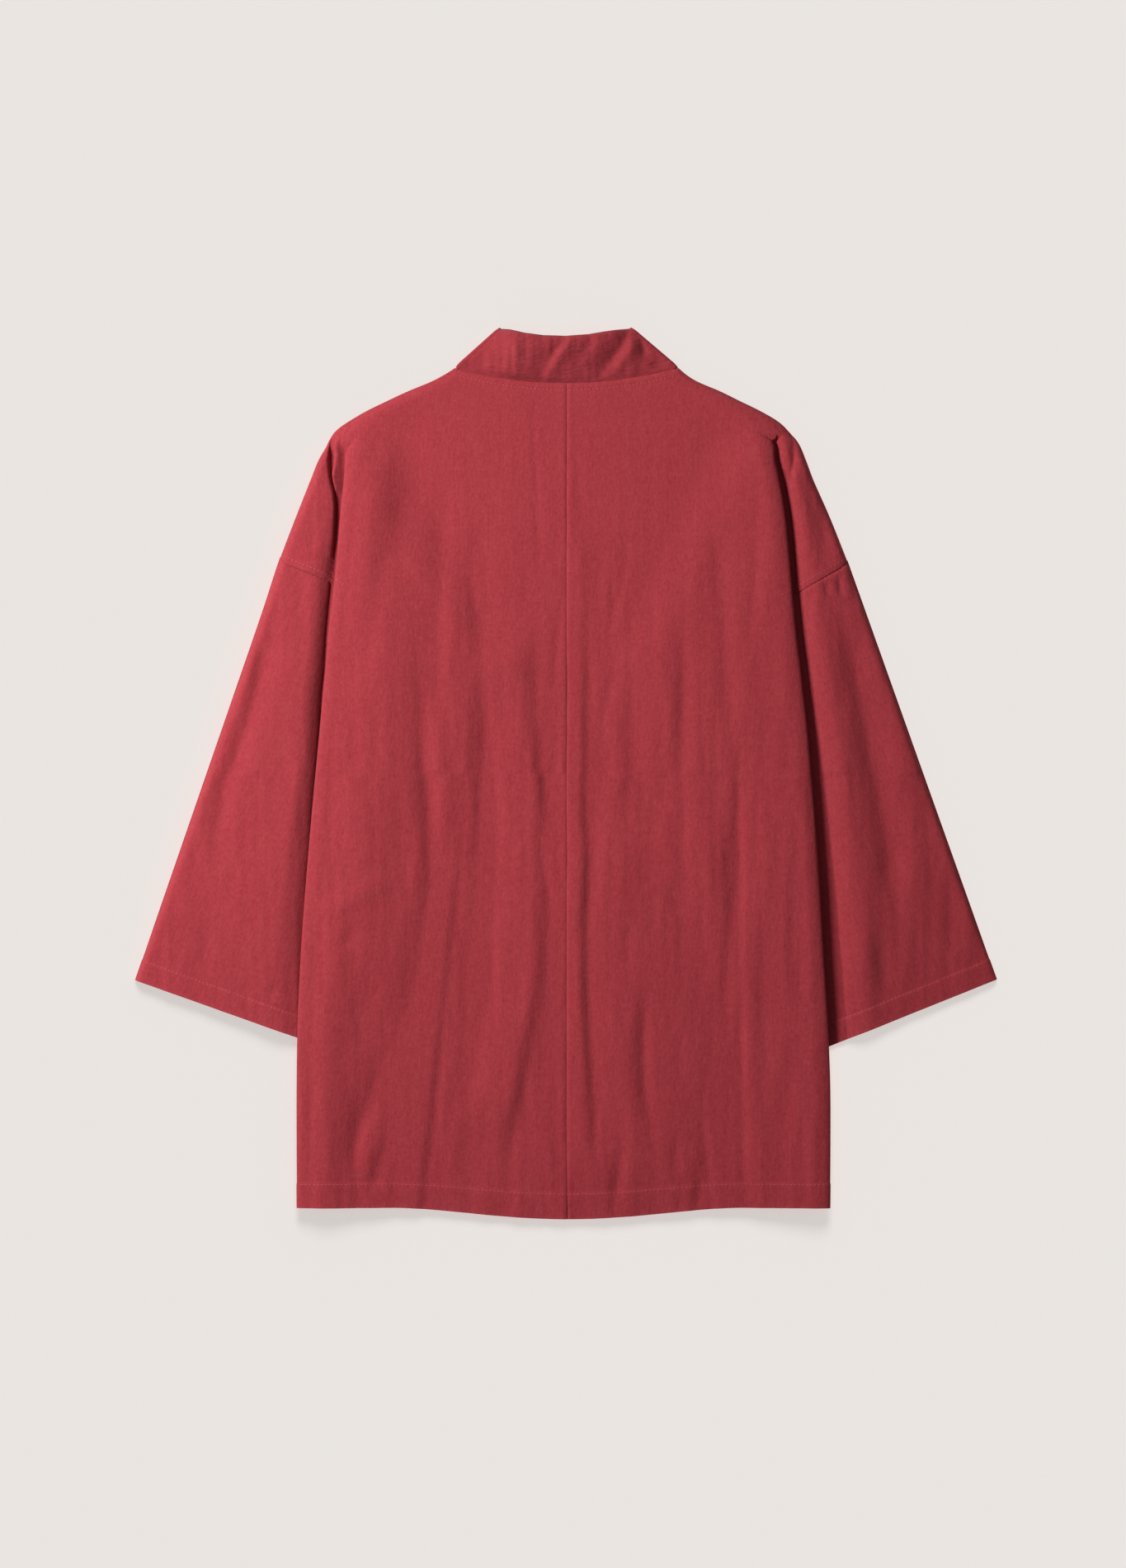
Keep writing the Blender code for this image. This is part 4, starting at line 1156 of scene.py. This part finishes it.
def lay_front(side):
    rows = [front_row(side, float(y)) for y in FRONT_ROWS]
    x = np.array([row[0] for row in rows])
    z = np.array([row[1] for row in rows])
    y = np.repeat(FRONT_ROWS[:, None], x.shape[1], axis=1)
    columns = np.arange(x.shape[1])
    from_hem = y - FRONT_HEM_Y
    on_run = 1.0 - smooth((columns - 38.0) / 10.0)
    away = smooth((x - band_seam(y)) / 12.0) * smooth(from_hem / 16.0)
    relief = np.maximum(creased(FRONT_CREASES, side.sign * x, y, 81), 0.0) + 0.18 * np.abs(crinkled(x, y, 83))
    turned_up = 1.0 - smooth((from_hem - HEM_DEPTH) / 1.6)
    z = z + on_run * away * relief + 0.16 * turned_up
    y = y + pulled_up(side, x, y) * (columns > FRONT_UNDERSIDE)
    place = np.stack([side.sign * x, y, z], axis=2)
    rubbed = np.clip(0.25 * fade(from_hem, 1.5), 0, 1)
    name = f"front_{side.name}_cloth"
    return lay_cloth(name, place, body_cloth, CLOTH, turned_up * 0.7, rubbed, straight_after=FRONT_UNDERSIDE)


front_left = lay_front(LEFT)
front_right = lay_front(RIGHT)
print("fronts:", len(front_left.data.polygons), len(front_right.data.polygons), "squares")

# %% [markdown]
# ## The neckband
# The band is one long strip, doubled, with its fold at the free edge. It runs across the back of the neck,
# folds over at each neck point, and goes down both fronts to the hem. A single sheet would have a sharp
# free edge, so it is laid as a closed flat tube, rounded like folded cloth. Its other edge is tucked 3 mm
# under the back's neck edge, where it is sewn in.

# %% Places and creases of the neckband
BAND_THICKNESS = 1.7
BAND_ROLL_RADIUS = 1.5
BAND_TUCKED_IN = 3.0
BAND_LEAN = 6.0
BAND_STOPS_ACROSS = 56
BAND_TURN_STOPS = 12
BAND_RING_STOPS = 45
# the stretch across the back, columns: seam x, seam y, free edge x, free edge y
LEFT_BAND_BACK = (
    (0.0, 331.1, 0.0, 370.4), (25.0, 332.0, 20.0, 370.9), (49.0, 334.6, 36.0, 373.0),
    (72.0, 338.6, 48.0, 376.0), (93.2, 343.5, 55.8, 377.0),
)
RIGHT_BAND_BACK = (
    (0.0, 331.1, 0.0, 370.4), (25.0, 332.0, 18.0, 371.8), (49.0, 334.6, 32.0, 374.2),
    (72.0, 338.6, 44.0, 376.0), (93.4, 343.2, 53.4, 377.2),
)
# the stretch under the fold, columns: seam y, free edge y
BAND_UNDER = (
    (333.0, 361.0), (320.0, 337.0), (305.0, 312.5), (288.0, 290.5), (270.0, 270.0),
    (UNDERARM_Y, UNDERARM_Y), (FRONT_HEM_Y, FRONT_HEM_Y),
)
BAND_CREASES = (
    (((2, 374), (-8, 361), (-16, 348), (-23, 334)), 9, 3, -2.7, 1.5),
    (((8, 374), (1, 362), (-8, 350), (-14, 342)), 4, 4, 1.3, 1.8),
    (((24, 374), (16, 358), (5, 345)), 5, 4, -1.1, 1.6),
    (((53, 378), (50, 362), (41, 350), (22, 335)), 9, 3, -3.0, 1.5),
    (((60, 372), (54, 356), (38, 338)), 4, 5, 1.4, 1.8),
    (((60, 368), (70, 352)), 4, 3, -1.0, 1.6),
    (((88, 352), (70, 344)), 2.4, 3, -0.9, 1.5),
    (((-56, 370), (-54, 340)), 3, 3, -0.7, 1.6),
    (((-47, 368), (-46, 338)), 3, 2, -0.7, 1.6),
    (((-34, 372), (-33, 338)), 4, 3, -1.1, 1.5),
    (((-26, 370), (-25, 338)), 3, 2.4, -0.9, 1.5),
    (((-74, 360), (-68, 340)), 3, 3, -0.6, 1.6),
    (((-40, 364), (-54, 340)), 5, 5, 0.7, 1.8),
    (((-36, 380), (-38, 326)), 26, 70, 5.5, 2.0),
)
print("creases placed on the neckband:", len(BAND_CREASES))


# %% Run of the neckband
def band_across_back(across_back):
    """The stretch across the back of the neck, tucked in along its seam."""
    top = BAND_THICKNESS / 2 + 2 * BAND_ROLL_RADIUS
    table = np.array(across_back)
    for t in np.linspace(0, 1, BAND_STOPS_ACROSS):
        row = [np.interp(t, np.linspace(0, 1, len(table)), table[:, i]) for i in range(4)]
        seam, free = np.array(row[:2]), np.array(row[2:])
        inward = BAND_TUCKED_IN * (1.0 - float(smooth((row[0] - 82.0) / 12.0)))
        seam = seam - inward * (free - seam) / np.linalg.norm(free - seam)
        lowered = top - 0.8 * inward / BAND_TUCKED_IN
        yield (*seam, lowered, *free, top, (0.0, 0.0, 1.0))


def band_turned_over(seam, free):
    """The fold at the neck point, where the band turns face down."""
    out = np.array([free[1] - seam[1], seam[0] - free[0]]) / np.linalg.norm(free - seam)
    for angle in np.linspace(0, math.pi, BAND_TURN_STOPS)[1:]:
        shift = out * BAND_ROLL_RADIUS * math.sin(angle)
        z = BAND_THICKNESS / 2 + BAND_ROLL_RADIUS * (1 + math.cos(angle))
        yield (*(seam + shift), z, *(free + shift), z, (*(out * math.sin(angle)), math.cos(angle)))


def band_down_front(seam, free):
    """The stretch down a front, from the neck point to the hem."""
    low = BAND_THICKNESS / 2
    table = np.array(((seam[1], free[1]),) + BAND_UNDER)
    neck = stops((seam[1], 2.4), (270.0, 3.2))
    front = stops((270.0, 3.2), (FRONT_HEM_Y + HEM_DEPTH, 3.6), (FRONT_HEM_Y, 1.0))
    for seam_y in np.concatenate([neck[1:], front[1:]]):
        free_y = float(np.interp(-seam_y, -table[:, 0], table[:, 1]))
        x = float(band_seam(seam_y)) - SEAM_SPACE
        settled = float(smooth((seam[1] - seam_y) / 12.0))
        seam_x = mix(seam[0], x, settled)
        free_x = mix(free[0], x - NECKBAND_WIDTH, settled)
        yield (seam_x, seam_y, low, free_x, free_y, low, (0.0, 0.0, -1.0))


def band_frames(across_back):
    """Seam point, free edge point and facing of the band, from the centre back to a front's hem."""
    seam, free = np.array(across_back[-1][:2]), np.array(across_back[-1][2:])
    return [*band_across_back(across_back), *band_turned_over(seam, free), *band_down_front(seam, free)]


print("places along half of the neckband:", len(band_frames(LEFT_BAND_BACK)))


# %% Lay the neckband
def lay_neckband():
    around = np.linspace(0.0, 2 * math.pi, BAND_RING_STOPS)
    share = mix(0.5 - 0.5 * np.cos(around), 1.0 - np.abs(1.0 - around / math.pi), 0.6)
    plump = np.sign(np.sin(around)) * np.minimum(1.0, np.abs(np.sin(around)) * 2.4) ** 0.7
    halves = []
    for across_back in (LEFT_BAND_BACK, RIGHT_BAND_BACK):
        half = []
        for *ends, facing in band_frames(across_back):
            seam, free = np.array(ends[:3]), np.array(ends[3:])
            out = np.array(facing) * plump[:, None] * BAND_THICKNESS / 2
            half.append(seam + (free - seam) * share[:, None] + out)
        halves.append(np.array(half))
    place = np.concatenate([halves[0][:0:-1] * np.array((-1.0, 1.0, 1.0)), halves[1]])
    x, y, z = (place[:, :, i] for i in range(3))
    from_middle = np.abs(np.arange(len(place)) - (len(place) - 1) / 2)[:, None]
    across_back = 1.0 - smooth((from_middle - 51.0) / 4.0)
    relief = creased(BAND_CREASES, x, y, 91) + 0.8 * crinkled(x * 1.3, y * 1.3, 93)
    relief = relief + 0.55 * crinkled(x * 2.6, y * 2.0, 97)
    from_seam = share[None, :]
    held = smooth(from_seam * 5.0) * mix(1.0, 0.6, smooth(from_seam * 4 - 3))
    z = z + across_back * relief * held
    z = z + across_back * BAND_LEAN * from_seam * smooth((BAND_STOPS_ACROSS - from_middle) / 24.0)
    rubbed = 0.22 * smooth(share * 12 - 11)[None, :] + 0 * x
    place = np.stack([x, y, z], axis=2)
    return lay_cloth("neckband_cloth", place, band_cloth, 0.0, None, rubbed, closed=True)


neckband = lay_neckband()
print("neckband:", len(neckband.data.polygons), "squares")

# %% [markdown]
# ## Stitching
# The hems, the neck seam and the armholes are topstitched with red thread at 3.4 mm a stitch. A bump could
# draw it, but it shows when the lens is near, so each stitch is a small rounded length of thread. It is
# laid where rays from above meet the cloth, and tilted with it. Those of the right sleeve are drawn in
# deeper and hardly show.

# %% Sewing helpers
STITCH_PITCH = 3.4
STITCH_LENGTH = 2.5
THREAD_THICKNESS = 0.5
LONGEST_STITCH = 2.2 * STITCH_LENGTH
DOWN = Vector((0, 0, -1))


def along_path(path, pitch):
    """Points and directions at even steps along a path."""
    path = np.array(path, float)
    distance = np.concatenate([[0.0], np.cumsum(np.linalg.norm(np.diff(path, axis=0), axis=1))])
    for at in np.arange(pitch / 2, distance[-1], pitch):
        point = np.array([np.interp(at, distance, path[:, i]) for i in (0, 1)])
        ahead = np.array([np.interp(at + 0.5, distance, path[:, i]) for i in (0, 1)])
        behind = np.array([np.interp(at - 0.5, distance, path[:, i]) for i in (0, 1)])
        yield point, (ahead - behind) / max(np.linalg.norm(ahead - behind), 1e-6)


def sew(name, panel, paths, proud=0.08):
    """Lay stitches along the paths on a panel, so many millimetres proud of its surface."""
    surface = BVHTree.FromObject(panel, bpy.context.evaluated_depsgraph_get())
    radius = THREAD_THICKNESS / 2
    shape = Matrix.Diagonal((STITCH_LENGTH / 2 * MM, radius * MM, radius * MM, 1.0))
    mesh = bmesh.new()
    count = 0
    for path in paths:
        for point, direction in along_path(path, STITCH_PITCH):
            ends = []
            for half in (-0.5, 0.5):
                at = (point + direction * half * STITCH_LENGTH) * MM
                ends.append(surface.ray_cast(Vector((at[0], at[1], 0.1)), DOWN)[0])
            if any(end is None for end in ends) or (ends[1] - ends[0]).length > LONGEST_STITCH * MM:
                continue
            turn = (ends[1] - ends[0]).normalized().to_track_quat("X", "Z").to_matrix().to_4x4()
            matrix = Matrix.Translation((ends[0] + ends[1]) / 2 - DOWN * proud * MM) @ turn @ shape
            bmesh.ops.create_uvsphere(mesh, u_segments=6, v_segments=5, radius=1.0, matrix=matrix)
            count += 1
    stitches = make_piece(name, mesh, thread, jacket_only)
    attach(stitches, "root")
    print(name, "has", count, "stitches")
    return stitches


# %% Paths of the topstitching
def back_hem_path(side):
    """Along the back's hem, which dips a little less that far up."""
    across = np.linspace(1.5, float(side.fold(BACK_HEM_Y)) - 3.0, 60)
    return [(side.sign * x, BACK_HEM_Y - 0.88 * float(hem_dip(x)) + HEM_DEPTH) for x in across]


def neck_path(side):
    across = np.linspace(1.0, NECK_HALF_WIDTH - 4.0, 40)
    return [(side.sign * x, NECK_SEAM_Y - float(neck_dip(x)) - NECK_STITCH_DEPTH) for x in across]


def sleeve_hem_path(side):
    top, hem, under = (np.array(point) for point in (side.armhole_top, side.hem_top, side.hem_under))
    start = hem - (hem - top) / np.linalg.norm(hem - top) * SLEEVE_HEM_DEPTH
    toward = (under - hem) / SLEEVE_WIDTH_AT_HEM
    return [(side.sign * x, y) for x, y in (start + toward * 2.5, start + toward * 196.0)]


def armhole_path(side):
    """Beside the visible stretch of the armhole seam."""
    top, under = np.array(side.armhole_top), np.array((UNDERARM_X, UNDERARM_Y))
    toward = (under - top) / np.linalg.norm(under - top)
    inward = np.array((toward[1], -toward[0]))
    start = top + inward * 4.5 + toward * 1.5
    points = [start + toward * along for along in np.linspace(0.0, 60.0, 16)]
    return [(side.sign * x, y + float(pulled_up(side, x, y))) for x, y in points]


# %% Sew the hems, neck and armholes
def back_paths(side):
    return [back_hem_path(side), neck_path(side), armhole_path(side)]


back_left_thread = sew("back_left_stitches", back_left, back_paths(LEFT))
back_right_thread = sew("back_right_stitches", back_right, back_paths(RIGHT))
sleeve_left_thread = sew("sleeve_left_stitches", sleeve_left, [sleeve_hem_path(LEFT)])
sleeve_right_thread = sew("sleeve_right_stitches", sleeve_right, [sleeve_hem_path(RIGHT)], proud=-0.16)

# %% [markdown]
# ## Put each sheet on the body
# Each piece rides on the one body and stands for its imported solid, which is hidden. The stitches go with
# the pieces that they are sewn on.

declare(
    back_left, "back_left")
declare(
    back_right, "back_right")
declare(sleeve_left, "sleeve_left")
declare(sleeve_right, "sleeve_right")
declare(front_left, "front_left")
declare(front_right, "front_right")
declare(neckband, "neckband")
